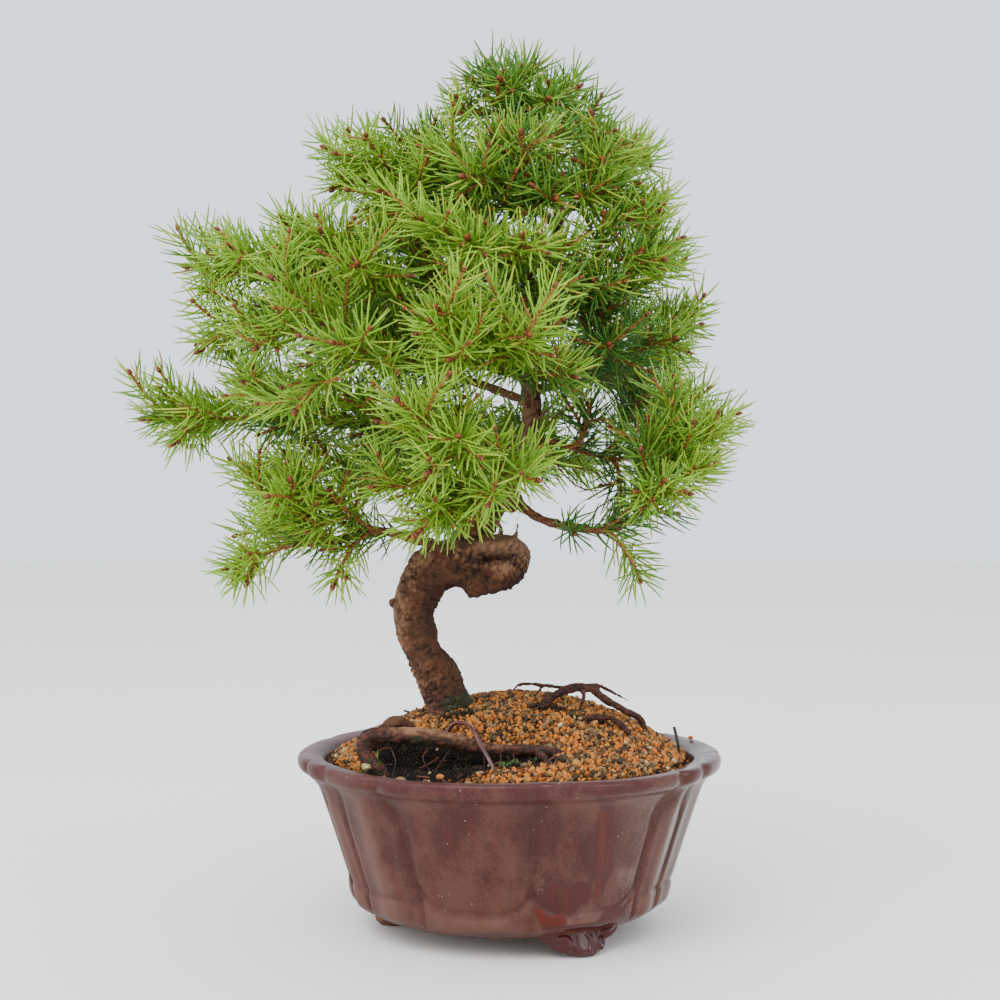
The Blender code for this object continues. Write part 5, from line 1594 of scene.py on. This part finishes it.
class SPRUCE_OT_weeds(bpy.types.Operator):
    """Make the blades of moss and weeds in the hollow and at the trunk's foot"""

    bl_idname = "spruce.weeds"
    bl_label = "Moss and weeds"
    bl_options = {"REGISTER", "UNDO"}

    # Patches of green: centre, reach, blades, blade length, blade half width, how mossy
    patches = (
        ((-46.5, -44.0), 2.0, 7, 9.0, 0.4, 0.0), ((0.0, -51.0), 4.5, 22, 1.5, 0.5, 0.1),
        ((9.0, -50.0), 4.0, 10, 1.5, 0.5, 0.3), ((-17.0, -38.0), 3.0, 8, 1.2, 0.4, 0.8),
        ((-36.0, -30.0), 5.0, 90, 0.8, 0.35, 1.0), ((-12.0, -8.0), 3.5, 200, 1.0, 0.25, 1.0),
        ((-16.0, -34.0), 4.0, 60, 0.8, 0.35, 1.0),
        ((-18.0, -12.5), 4.0, 300, 1.1, 0.25, 1.0), ((-24.0, -12.5), 3.0, 180, 1.1, 0.25, 1.0),
        ((26.0, -14.0), 3.0, 8, 2.0, 0.35, 0.3), ((-53.0, -41.0), 3.0, 6, 5.0, 0.4, 0.0),
        ((-9.0, 4.0), 4.0, 120, 1.3, 0.25, 1.0), ((-38.0, -26.0), 3.0, 120, 1.2, 0.3, 1.0),
    )

    def execute(self, context):
        wood, stone = context.scene.spruce.wood, context.scene.spruce.gravel
        draw = random.Random(f"{SEED} weeds")
        points, faces, shares = [], [], []
        for (x, y), reach, count, length, half, mossy in self.patches:
            for _ in range(count):
                turn, out = draw.uniform(0.0, math.tau), reach * math.sqrt(draw.random())
                a, b = x + out * math.cos(turn), y + out * math.sin(turn)
                foot = np.array((a, b, float(soil_height(a, b)) - 0.6))
                self.blade(points, faces, foot, draw, length * draw.uniform(0.6, 1.2), half)
                shares += [mossy] * (len(points) - len(shares))
        mesh = mesh_of("moss_and_weeds", points, faces, mossy=shares)
        weeds = piece_of("moss_and_weeds", mesh, weed_finish(wood, stone), rounded=False)
        hand_over(weeds, "needle_green")
        shapes = []
        for route, radii, flatness in [*self.hair_roots(draw), self.leaf()]:
            points, faces = tube(route, radii, HAIR_SIDES)
            middle = np.repeat(route[:, 2], HAIR_SIDES)
            points[:, 2] = middle + (points[:, 2] - middle) * flatness
            shapes.append((points, faces))
        brown = plain_finish("hair_roots", wood.bark_dark, wood.bark_red, 3.0, 0.8)
        hand_over(piece_of("hair_roots", mesh_of("hair_roots", *joined(shapes)), brown), "bark")
        return {"FINISHED"}

    def hair_roots(self, draw):
        """Thin roots that hang from the front root into the hollow: route, radii and roundness of each."""
        made = []
        for _ in range(9):
            x, slant = draw.uniform(-44.0, 12.0), draw.uniform(-9.0, 9.0)
            start = Vector((x, draw.uniform(-44.0, -40.0), 71.5))
            low = Vector((x + slant, draw.uniform(-58.0, -46.0), 0.0))
            low.z = float(soil_height(low.x, low.y)) - 0.4
            middle = start.lerp(low, 0.5) + Vector([draw.uniform(-2.5, 2.5) for _ in range(3)])
            route = flowing([tuple(start), tuple(middle), tuple(low)], 5)
            made.append((route, np.linspace(draw.uniform(0.15, 0.32), 0.1, len(route)), 1.0))
        return made

    def leaf(self):
        """A dry leaf on the gravel behind the front lip."""
        route = flowing([(-3.2, -60.5, 66.4), (1.0, -61.0, 66.2), (6.2, -60.5, 67.4)], 5)
        return route, 0.9 * np.sin(np.linspace(0.15, 2.95, len(route))), 0.25

    def blade(self, points, faces, foot, draw, length, half):
        """A three-sided blade that leans over."""
        lean = draw.uniform(0.2, 0.9)
        turn = draw.uniform(0.0, math.tau)
        aside = np.array((math.cos(turn), math.sin(turn), 0.0))
        across = np.array((-math.sin(turn), math.cos(turn), 0.0))
        up = np.array((0.0, 0.0, 1.0))
        middle = foot + aside * length * lean * 0.3 + up * length * 0.7
        tip = foot + aside * length * lean + up * length * (1.1 - 0.4 * lean)
        start = len(points)
        points += [foot + across * half, foot - across * half, foot + aside * half * 0.6]
        points += [middle + across * half * 0.8, middle - across * half * 0.8, middle + aside * half * 0.5]
        points.append(tip)
        for a, b in ((0, 1), (1, 2), (2, 0)):
            faces.append((start + b, start + a, start + a + 3, start + b + 3))
            faces.append((start + b + 3, start + a + 3, start + 6))
        faces.append((start, start + 1, start + 2))


# Trunk and roots

class SPRUCE_OT_trunk(bpy.types.Operator):
    """Make the trunk, its collars and the surface roots as one piece of scaly bark"""

    bl_idname = "spruce.trunk"
    bl_label = "Trunk and roots"
    bl_options = {"REGISTER", "UNDO"}

    def execute(self, context):
        settings = context.scene.spruce.wood
        shapes = [tube(line[:, :3], line[:, 3], ROD_SIDES) for line, _ in self.lines()]
        trunk = piece_of("trunk_bark", mesh_of("trunk_bark", *joined(shapes)))
        fuse(trunk, settings.grain, 2)
        self.carve(trunk.data)
        hand_over(finished(trunk, bark_finish(settings)), "bark", "trunk")
        return {"FINISHED"}

    def lines(self):
        """Every rod of the trunk and roots as a fine line of (x, y, z, radius), and how rooty it is."""
        made = [(flowing(LOWER_TRUNK, 8), 0.0), (flowing(SEEN_NECK + UPPER_TRUNK[5:], 8), 0.0)]
        heart = np.vstack([line[:, :3] for line, _ in made])
        for root in (FRONT_ROOT, RIGHT_ROOT, ROOT_RUN_TO_LAST_FORK, FRONT_ROOT_FORK, *SEEN_FORKS, STUMP):
            line = flowing(root, 6)
            line[:, 3] *= 1.0 + 0.22 * rough_at(line[:, :3], 5.0, 7.0)
            made.append((line, 1.0))
        front_root = made[2][0]
        front_root[:, 3] *= np.interp(front_root[:, 0], (-15.0, -5.0), (1.22, 0.95))
        made += [(flowing(twig, 5), 0.2) for twig in BARE_TWIGS]
        for name, (route, (thick, _), _) in BRANCHES.items():
            root = SEEN_ROUTES.get(name, route)[0]
            cut = seen_route(name)[0]
            between = Vector(root).lerp(cut, 0.6)
            collar = [(*root, thick * 1.2), (*between, thick * 0.95), (*cut, thick * 0.8)]
            away = np.linalg.norm(heart - np.array(root, float), axis=1)
            if away.min() > 2.0:
                collar.insert(0, (*heart[away.argmin()], thick * 1.2))
            made.append((flowing(collar, 4), 0.0))
        return made

    def stations(self):
        """The lines' points as (x, y, z, radius, rootiness, run, tangent, normal)."""
        rows = []
        for line, rooty in self.lines():
            steps = np.linalg.norm(np.diff(line[:, :3], axis=0), axis=1)
            run = np.concatenate([[0.0], np.cumsum(steps)])
            rows.append(np.column_stack([line, np.full(len(line), rooty), run, *frames_along(line[:, :3])]))
        return np.vstack(rows)

    def nearest(self, places):
        """For each place, the station that is closest to it."""
        rows = self.stations()
        tree = kdtree.KDTree(len(rows))
        for number, row in enumerate(rows):
            tree.insert(row[:3], number)
        tree.balance()
        return rows[[tree.find(place)[1] for place in places]]

    def carve(self, mesh):
        """Pushes the skin out and in for lumps, cross wrinkles, scales, knobs, creases and scars."""
        places, normals = places_of(mesh), vectors_of(mesh, "normal")
        rows = self.nearest(places)
        radius, rooty, run, tangent, normal = rows[:, 3], rows[:, 4], rows[:, 5], rows[:, 6:9], rows[:, 9:]
        offset = places - rows[:, :3]
        run = run + (offset * tangent).sum(axis=1)
        local = np.stack([(offset * normal).sum(axis=1), (offset * np.cross(tangent, normal)).sum(axis=1),
                          run * 2.1], axis=1)
        heft = np.clip(radius / 8.0, 0.05, 1.1)
        wooden = 1.0 - rooty
        lumps = rough_at(places, 6.5)
        wander = rough_at(places, 3.4, 5.0)
        fine = rough_at(places, 1.3, 11.0)
        folds = np.clip(0.45 + 0.9 * rough_at(places, 9.0, 3.0), 0.1, 1.0)
        wrinkles = np.sin(run * math.tau / 2.3 + 2.6 * wander) * folds
        cells = [noise.voronoi(Vector(p) / 4.6)[0] for p in local + wander[:, None] * 0.8]
        plates = smooth(np.array([cell[1] - cell[0] for cell in cells]) / 0.16) - 0.8
        relief = wooden * (0.3 * wrinkles + 0.5 * plates + 0.3 * wander) + 0.5 * fine + rooty * 0.4 * wander
        push = heft * (1.25 * lumps * wooden + 0.95 * relief) + rooty * 0.18 * (wander + fine)
        for centre, reach, height in KNOBS:
            bump = height * hill(np.linalg.norm(places - np.array(centre), axis=1) / reach)
            push += bump
            # Painted shade: hollows lower the relief that colours the bark, so they are painted darker
            relief += np.minimum(bump, 0.0) * 0.35
        for start, end, reach, depth in CREASES:
            start, along_it = np.array(start), np.array(end) - np.array(start)
            share = np.clip((places - start) @ along_it / (along_it @ along_it), 0.0, 1.0)
            away = np.linalg.norm(places - start - share[:, None] * along_it, axis=1)
            dent = depth * hill(away / reach)
            push -= dent
            # Painted shade: creases lower the relief that colours the bark, so they are painted darker
            relief -= np.maximum(dent, 0.0) * 0.42
        for centre, size in SCARS:
            away = np.linalg.norm(places - np.array(centre), axis=1)
            ring = hill((away - size) / 0.5)
            push -= 0.55 * ring
            relief = np.where(away < size, 0.2, relief) - 0.8 * ring
        places += normals * push[:, None]
        mesh.vertices.foreach_set("co", ((places + np.array(POT_AXIS)) * MM).ravel())
        self.mark(mesh, places, normals, rooty, relief, lumps)
        mesh.update()

    def mark(self, mesh, places, normals, rooty, relief, lumps):
        """Stores where the bark is mossy, wet as a root, and painted lighter where it faces the light."""
        x, y, z = places.T
        foot = smooth((91.0 - z) / 6.0) * (np.hypot(x + 20.0, y) < 16.0)
        moss = foot * smooth((x + 28.0) / 6.0) * (1.0 + 0.7 * rough_at(places, 4.0, 21.0))
        under_root = rooty * (normals[:, 2] < 0.1) * (x < -8.0) * (y < -25.0)
        moss = np.maximum(moss, under_root * (0.35 + rough_at(places, 5.0, 4.0)))
        # The front root's top is drier and greyer, and is also painted lighter where it faces up
        old = rooty * smooth((normals[:, 2] + 0.6) / 1.2) * np.interp(x, (-46, -38, -8, 2), (0, 1, 1, 0))
        root = np.maximum(rooty * (1.0 - 0.8 * old * (y < -25.0)), foot * 0.7)
        # Painted light: lighter facing left and up, on lumps and at the cap's end, less so high on the trunk;
        # where it is low the bark is painted in shade
        end = smooth((x + 10.0) / 10.0) * smooth((z - 128.0) / 8.0)
        worn = 0.15 - 0.7 * normals[:, 0] + 0.45 * normals[:, 2] + 0.95 * end + 0.4 * lumps
        worn = np.clip(worn - 0.3 * smooth((z - 150.0) / 20.0) + 0.3 * old, -0.6, 1.2)
        write_attributes(mesh, relief=relief, moss=moss, root=root, worn=worn)


# Leafy branches

def bud_shape():
    """A pointed egg of overlapping scales, 1 mm wide, standing on its origin: points, faces and rims."""
    sides = 6
    rings, rims = [], []
    profile = ((0.0, 0.28, 0.0), (0.22, 0.5, 0.6), (0.36, 0.44, 0.0), (0.72, 0.47, 1.0), (0.78, 0.39, 0.0),
               (1.1, 0.3, 1.0), (1.34, 0.05, 0.8))
    for row, (height, radius, rim) in enumerate(profile):
        turns = even_turns(sides, 0.5 * (row // 2))
        reach = radius * (1.0 + 0.06 * np.cos(turns * 4.0 + row))
        rings.append(np.stack([reach * np.cos(turns), reach * np.sin(turns), np.full(sides, height)], axis=1))
        rims += [rim] * sides
    return np.vstack(rings), ring_faces(len(rings), sides), rims


def twig_growth():
    """Wood round the lines, pegs on it where needles fell, and buds on the points that carry one."""
    growth = Growth("twigs", {
        "Bud": "Object", "Sides": "Int", "Step": "Float", "Knobble": "Float", "Seed": "Int",
        "Wood Material": "Material", "Bud Material": "Material"})
    source, seed = growth.given("Geometry"), growth.given("Seed")
    girth = growth.attribute("girth")
    lines = growth.add("GeometryNodeMeshToCurve", {"Mesh": source})
    lines = growth.add("GeometryNodeResampleCurve", {"Curve": lines, "Length": growth.given("Step")},
                       mode="LENGTH")
    wood = growth.swept(lines, growth.ring(growth.given("Sides"), 1.0), girth)
    rough = growth.add("ShaderNodeTexNoise", {"Scale": 900.0, "Detail": 1.0}, "Fac")
    push = (rough - 0.5) * growth.given("Knobble") * girth
    wood = growth.add("GeometryNodeSetPosition", {
        "Geometry": wood, "Offset": growth.scaled(growth.add("GeometryNodeInputNormal"), push)})

    spots = growth.add("GeometryNodeCurveToPoints", {
        "Curve": lines, "Length": growth.given("Step") * 0.62}, mode="LENGTH")
    tangent = spots.output("Tangent")
    roll = growth.add("GeometryNodeInputIndex") * math.radians(GOLDEN_TURN)
    aside = growth.add("ShaderNodeVectorRotate", {
        "Vector": spots.output("Normal"), "Axis": tangent, "Angle": roll}, rotation_type="AXIS_ANGLE")
    peg = growth.add("GeometryNodeMeshCone", {
        "Vertices": 3, "Radius Top": 0.3, "Radius Bottom": 0.66, "Depth": 1.0}, "Mesh")
    size = growth.chance(0.00035, 0.0006, seed)
    pegs = growth.placed(
        spots, peg, selection=growth.attribute("pegs") > growth.chance(0.0, 1.0, seed + 1),
        rotation=growth.facing(growth.sum(aside, growth.scaled(tangent, 0.5)), tangent),
        scale=growth.vector(size, size, size * 1.5))
    pegs = growth.add("GeometryNodeTranslateInstances", {
        "Instances": pegs, "Translation": growth.vector(z=girth)})

    bud = growth.add("GeometryNodeObjectInfo", {"Object": growth.given("Bud")}, "Geometry")
    size = growth.attribute("bud")
    buds = growth.placed(
        source, bud, selection=size > 0.0,
        rotation=growth.facing(growth.attribute("aim", "FLOAT_VECTOR"), growth.vector(0.3, 0.5, 0.8)),
        scale=growth.vector(size, size, size * 1.05))
    growth.finish((wood, "Wood Material"), (pegs, "Wood Material"), (buds, "Bud Material"))
    return growth


def needle_growth():
    """Needles set round each line in a close spiral, thinning out where it isn't leafy."""
    growth = Growth("needles", {
        "Length": "Float", "Width": "Float", "Spacing": "Float", "Base Tilt": "Float", "Tip Tilt": "Float",
        "Curl": "Float", "Lift": "Float", "Seed": "Int", "Material": "Material"})
    seed, length = growth.given("Seed"), growth.given("Length")
    lines = growth.add("GeometryNodeMeshToCurve", {"Mesh": growth.given("Geometry")})
    spots = growth.add("GeometryNodeCurveToPoints", {
        "Curve": lines, "Length": growth.given("Spacing")}, mode="LENGTH")
    tangent, grown = spots.output("Tangent"), growth.attribute("grown")
    roll = growth.add("GeometryNodeInputIndex") * math.radians(GOLDEN_TURN) + growth.chance(-0.35, 0.35, seed)
    aside = growth.add("ShaderNodeVectorRotate", {
        "Vector": spots.output("Normal"), "Axis": tangent, "Angle": roll}, rotation_type="AXIS_ANGLE")
    base, tip = growth.given("Base Tilt"), growth.given("Tip Tilt")
    tilt = base + (tip - base) * grown ** 3.0 + growth.chance(-0.26, 0.26, seed + 1)
    heading = growth.sum(growth.scaled(tangent, tilt.maths("COSINE", tilt)),
                         growth.scaled(aside, tilt.maths("SINE", tilt)))
    heading = growth.sum(heading, growth.vector(z=growth.given("Lift")))
    facing = growth.facing(heading, growth.scaled(tangent, -1.0))

    line = growth.add("GeometryNodeCurveQuadraticBezier", {
        "Resolution": 2, "Start": growth.vector(), "Middle": growth.vector(z=length * 0.5),
        "End": growth.vector(x=length * growth.given("Curl") * -1.0, z=length * 0.985)})
    line = growth.store(line, "reach", growth.add("GeometryNodeSplineParameter", output="Factor"))
    needle = growth.swept(line, growth.ring(3, growth.given("Width") * 0.5),
                          1.0 - growth.attribute("reach") ** 6.0 * 0.5)
    share = growth.attribute("vigour") * growth.chance(0.84, 1.08, seed + 2) * (1.0 - grown ** 6.0 * 0.22)
    keep = growth.attribute("leafy") > growth.chance(0.0, 1.0, seed + 3)
    placed = growth.placed(spots, needle, selection=keep, rotation=facing,
                           scale=growth.vector(1.0, 1.0, share))
    placed = growth.store(placed, "shade", growth.chance(0.0, 1.0, seed + 4), "INSTANCE")
    growth.finish((placed, "Material"))
    return growth


def add_line(points, edges, line):
    """Adds a line to a mesh's points and edges, and hands back its points' shares of it."""
    edges += [(len(points) + k, len(points) + k + 1) for k in range(len(line) - 1)]
    points += list(line)
    return np.linspace(0.0, 1.0, len(line))


class SPRUCE_OT_branches(bpy.types.Operator):
    """Make each leafy branch as two pieces: its twigs with their buds, and its needles"""

    bl_idname = "spruce.branches"
    bl_label = "Leafy branches"
    bl_options = {"REGISTER", "UNDO"}

    def execute(self, context):
        settings, wood = context.scene.spruce.needles, context.scene.spruce.wood
        habit = {key: getattr(settings, key) for key in (
            "length", "width", "spacing", "base_tilt", "tip_tilt", "curl", "lift")}
        wood_tree, leaf_tree = twig_growth(), needle_growth()
        points, faces, rims = bud_shape()
        bud = piece_of("bud", mesh_of("bud", points, faces, axis=(0, 0, 0), rim=rims))
        twiggy, scaly, leafy = twig_finish(wood), bud_finish(wood), needle_finish(settings)
        taken = self.standing()
        shoots = {name: main_shoots(name, taken) for name in BRANCHES}
        for number, name in enumerate(BRANCHES):
            twigs = twigs_of(name, shoots[name])
            woody = wood_tree.grow(
                f"{name}_twigs", self.twig_lines(name, twigs), bud=bud, sides=5, step=0.0019, knobble=0.7,
                seed=number, wood_material=twiggy, bud_material=scaly)
            hand_over(woody, "bark", f"branch_{name}")
            leaves = leaf_tree.grow(
                f"{name}_needles", self.needle_lines(name, twigs), seed=10 * number, material=leafy, **habit)
            hand_over(leaves, "needle_green", f"branch_{name}")
        bpy.data.objects.remove(bud, do_unlink=True)
        return {"FINISHED"}

    def standing(self):
        """The trunk and the branches' wood, which the shoots keep clear of."""
        taken = Clearance()
        for trunk in (LOWER_TRUNK, UPPER_TRUNK):
            taken.add([Vector(p[:3]) for p in trunk], [p[3] for p in trunk], "trunk")
        for name, (route, (thick, thin), _) in BRANCHES.items():
            radii = [thick + (thin - thick) * k / (len(route) - 1) for k in range(len(route))]
            own = wood_route(name)
            own[0] += (own[1] - own[0]).normalized() * GAP
            taken.add(own, radii, name)
        return taken

    def twig_lines(self, name, twigs):
        """The twigs' centre lines, and a point for each bud."""
        points, edges, girth, age, pegs = [], [], [], [], []
        for twig in twigs:
            shares = add_line(points, edges, twig.line)
            girth += list(twig.radii() * MM)
            age += list(smooth((twig.girth[0] - 1.0) / 0.6) * (1.0 - 0.4 * shares))
            pegs += list((shares < twig.leafy) * 0.9 + 0.1)
        bud, aim = [0.0] * len(points), [(0.0, 0.0, 1.0)] * len(points)
        draw = random.Random(f"{SEED} buds {name}")
        for twig in twigs:
            if not twig.bud:
                continue
            tip = Vector(twig.line[-1])
            heading = (tip - Vector(twig.line[-2])).normalized()
            sites = [(tip - heading * 0.3, heading, 2.2 * twig.bud)]
            for _ in range(draw.choice((1, 1, 2)) if twig.bud > 0.9 else 0):
                aside = turned(heading, 52.0, draw.uniform(0.0, 360.0))
                sites.append((tip - heading * draw.uniform(1.4, 3.0), aside, 1.7 * twig.bud))
            for place, direction, size in sites:
                points.append(np.array(place))
                bud.append(size)
                aim.append(tuple(direction))
                for values in (girth, age, pegs):
                    values.append(0.0)
        return mesh_of(f"{name}_twigs", points, edges=edges, girth=girth, age=age, pegs=pegs, bud=bud,
                       aim=np.array(aim))

    def needle_lines(self, name, twigs):
        """The lines that carry needles, with what each point of them says of its needles."""
        points, edges, grown, leafy, vigour, sun = [], [], [], [], [], []
        for twig in twigs:
            shares = add_line(points, edges, twig.line)
            grown += list(shares if twig.bud else shares * 0.5)
            full = 1.0 if twig.bud else 0.6
            tip = smooth((twig.length() * (1.0 - shares) - 0.4) / 0.8) if twig.bud else 1.0
            leafy += list(full * smooth((shares - twig.leafy) / 0.06 + 0.5) * tip)
            vigour += [twig.vigour] * len(shares)
            sun += list(twig.sun * (0.55 + 0.45 * shares))
        return mesh_of(f"{name}_needles", points, edges=edges, grown=grown, leafy=leafy, vigour=vigour,
                       sun=sun)


# Wires and the drainage mesh

class SPRUCE_OT_wires(bpy.types.Operator):
    """Make the two tie wires, and finish the drainage mesh"""

    bl_idname = "spruce.wires"
    bl_label = "Tie wires and drainage mesh"
    bl_options = {"REGISTER", "UNDO"}

    def execute(self, context):
        for name, route, radius, *look in (
            ("brown_wire", BROWN_WIRE, BROWN_WIRE_RADIUS, paint(84, 38, 31), paint(58, 26, 22), 5.0, 0.3),
            ("black_wire", BLACK_WIRE, BLACK_WIRE_RADIUS, paint(30, 30, 32), paint(52, 48, 44), 3.0, 0.5),
        ):
            node = "tie_wire_" + name.replace("_wire", "")
            line = flowing(route, 10)
            mesh = mesh_of(node, *tube(line, np.full(len(line), radius), WIRE_SIDES))
            hand_over(piece_of(f"{node}_smooth", mesh, plain_finish(name, *look)), name, node)
        net = plain_finish("drain_plastic", paint(40, 40, 42), paint(62, 56, 50), 2.0, 0.6)
        node = frame["nodes"]["drain_mesh"]
        node.data.materials.clear()
        node.data.materials.append(net)
        return {"FINISHED"}


# Floor, light and camera

class SPRUCE_OT_stage(bpy.types.Operator):
    """Set up the floor, the soft lights and the camera"""

    bl_idname = "spruce.stage"
    bl_label = "Stage"
    bl_options = {"REGISTER", "UNDO"}

    def execute(self, context):
        settings = context.scene.spruce.studio
        self.floor(settings.floor[:])
        self.surround(context.scene, settings)
        centre = POT_AXIS * MM + Vector((0.0, 0.0, 0.17))
        for name, place, size, power in (
            ("key", (-0.5, -1.0, 1.5), 1.2, settings.key),
            ("left_strip", (-1.2, -0.5, 0.5), 0.7, settings.fill),
            ("right_strip", (1.1, -0.8, 0.5), 0.5, settings.fill),
            ("top", (0.2, 0.5, 1.7), 1.2, settings.fill),
        ):
            light = bpy.data.lights.new(name, "AREA")
            light.size = size
            light.energy = power
            lamp = bpy.data.objects.new(name, light)
            lamp.location = Vector(place)
            lamp.rotation_euler = (centre - Vector(place)).to_track_quat("-Z", "Y").to_euler()
            context.scene.collection.objects.link(lamp)
        camera = bpy.data.objects.new("camera", bpy.data.cameras.new("camera"))
        camera.data.lens = settings.lens
        camera.data.sensor_width = 36.0
        camera.location = ((POT_AXIS.x - 3.4) * MM, -settings.distance, settings.height)
        camera.rotation_euler = (math.radians(90.14), 0.0, 0.0)
        context.scene.collection.objects.link(camera)
        context.scene.camera = camera
        return {"FINISHED"}

    def surround(self, scene, settings):
        """Even light from all round."""
        scene.world = bpy.data.worlds.new("surround")
        scene.world.use_nodes = True
        background = scene.world.node_tree.nodes["Background"]
        plug(settings.sky[:], background.inputs["Color"])
        plug(settings.strength, background.inputs["Strength"])

    def floor(self, colour):
        """A wide pale disc just below the feet."""
        rings = [ring_at(radius, even_turns(FLOOR_SIDES), -0.05) for radius in (300.0, 900.0, 4000.0)]
        faces = [tuple(reversed(face)) for face in ring_faces(len(rings), FLOOR_SIDES, closed=False)]
        faces.insert(0, tuple(range(FLOOR_SIDES)))
        finish = Finish("pale_floor", {"Roughness": 0.6})
        warm = tuple(0.94 * value for value in colour)
        finish.feed("Base Color", finish.blend(colour, warm, finish.noise(180.0, 3.0)))
        floor = piece_of("floor", mesh_of("floor", np.vstack(rings), faces), finish.material, rounded=False)


class SPRUCE_PT_panel(bpy.types.Panel):
    """Lists the pieces"""

    bl_idname = "SPRUCE_PT_panel"
    bl_label = "Potted Spruce Bonsai"
    bl_space_type = "VIEW_3D"
    bl_region_type = "UI"
    bl_category = "Spruce"

    def draw(self, context):
        for operator in OPERATORS:
            self.layout.operator(operator.bl_idname)
        settings = context.scene.spruce
        for group in (settings.needles, settings.wood, settings.pot, settings.gravel, settings.studio):
            box = self.layout.box()
            for key in group.__annotations__:
                box.prop(group, key)


OPERATORS = (SPRUCE_OT_pot, SPRUCE_OT_soil, SPRUCE_OT_weeds, SPRUCE_OT_trunk, SPRUCE_OT_branches,
             SPRUCE_OT_wires, SPRUCE_OT_stage)
GROUPS = (NeedleSettings, WoodSettings, PotSettings, GravelSettings, StudioSettings, SpruceSettings)


def register():
    for group in (*GROUPS, *OPERATORS, SPRUCE_PT_panel):
        bpy.utils.register_class(group)
    bpy.types.Scene.spruce = PointerProperty(type=SpruceSettings)


def unregister():
    del bpy.types.Scene.spruce
    for group in reversed((*GROUPS, *OPERATORS, SPRUCE_PT_panel)):
        bpy.utils.unregister_class(group)


def main():
    register()
    for operator in OPERATORS:
        group, name = operator.bl_idname.split(".")
        getattr(getattr(bpy.ops, group), name)()


if __name__ == "__main__":
    main()
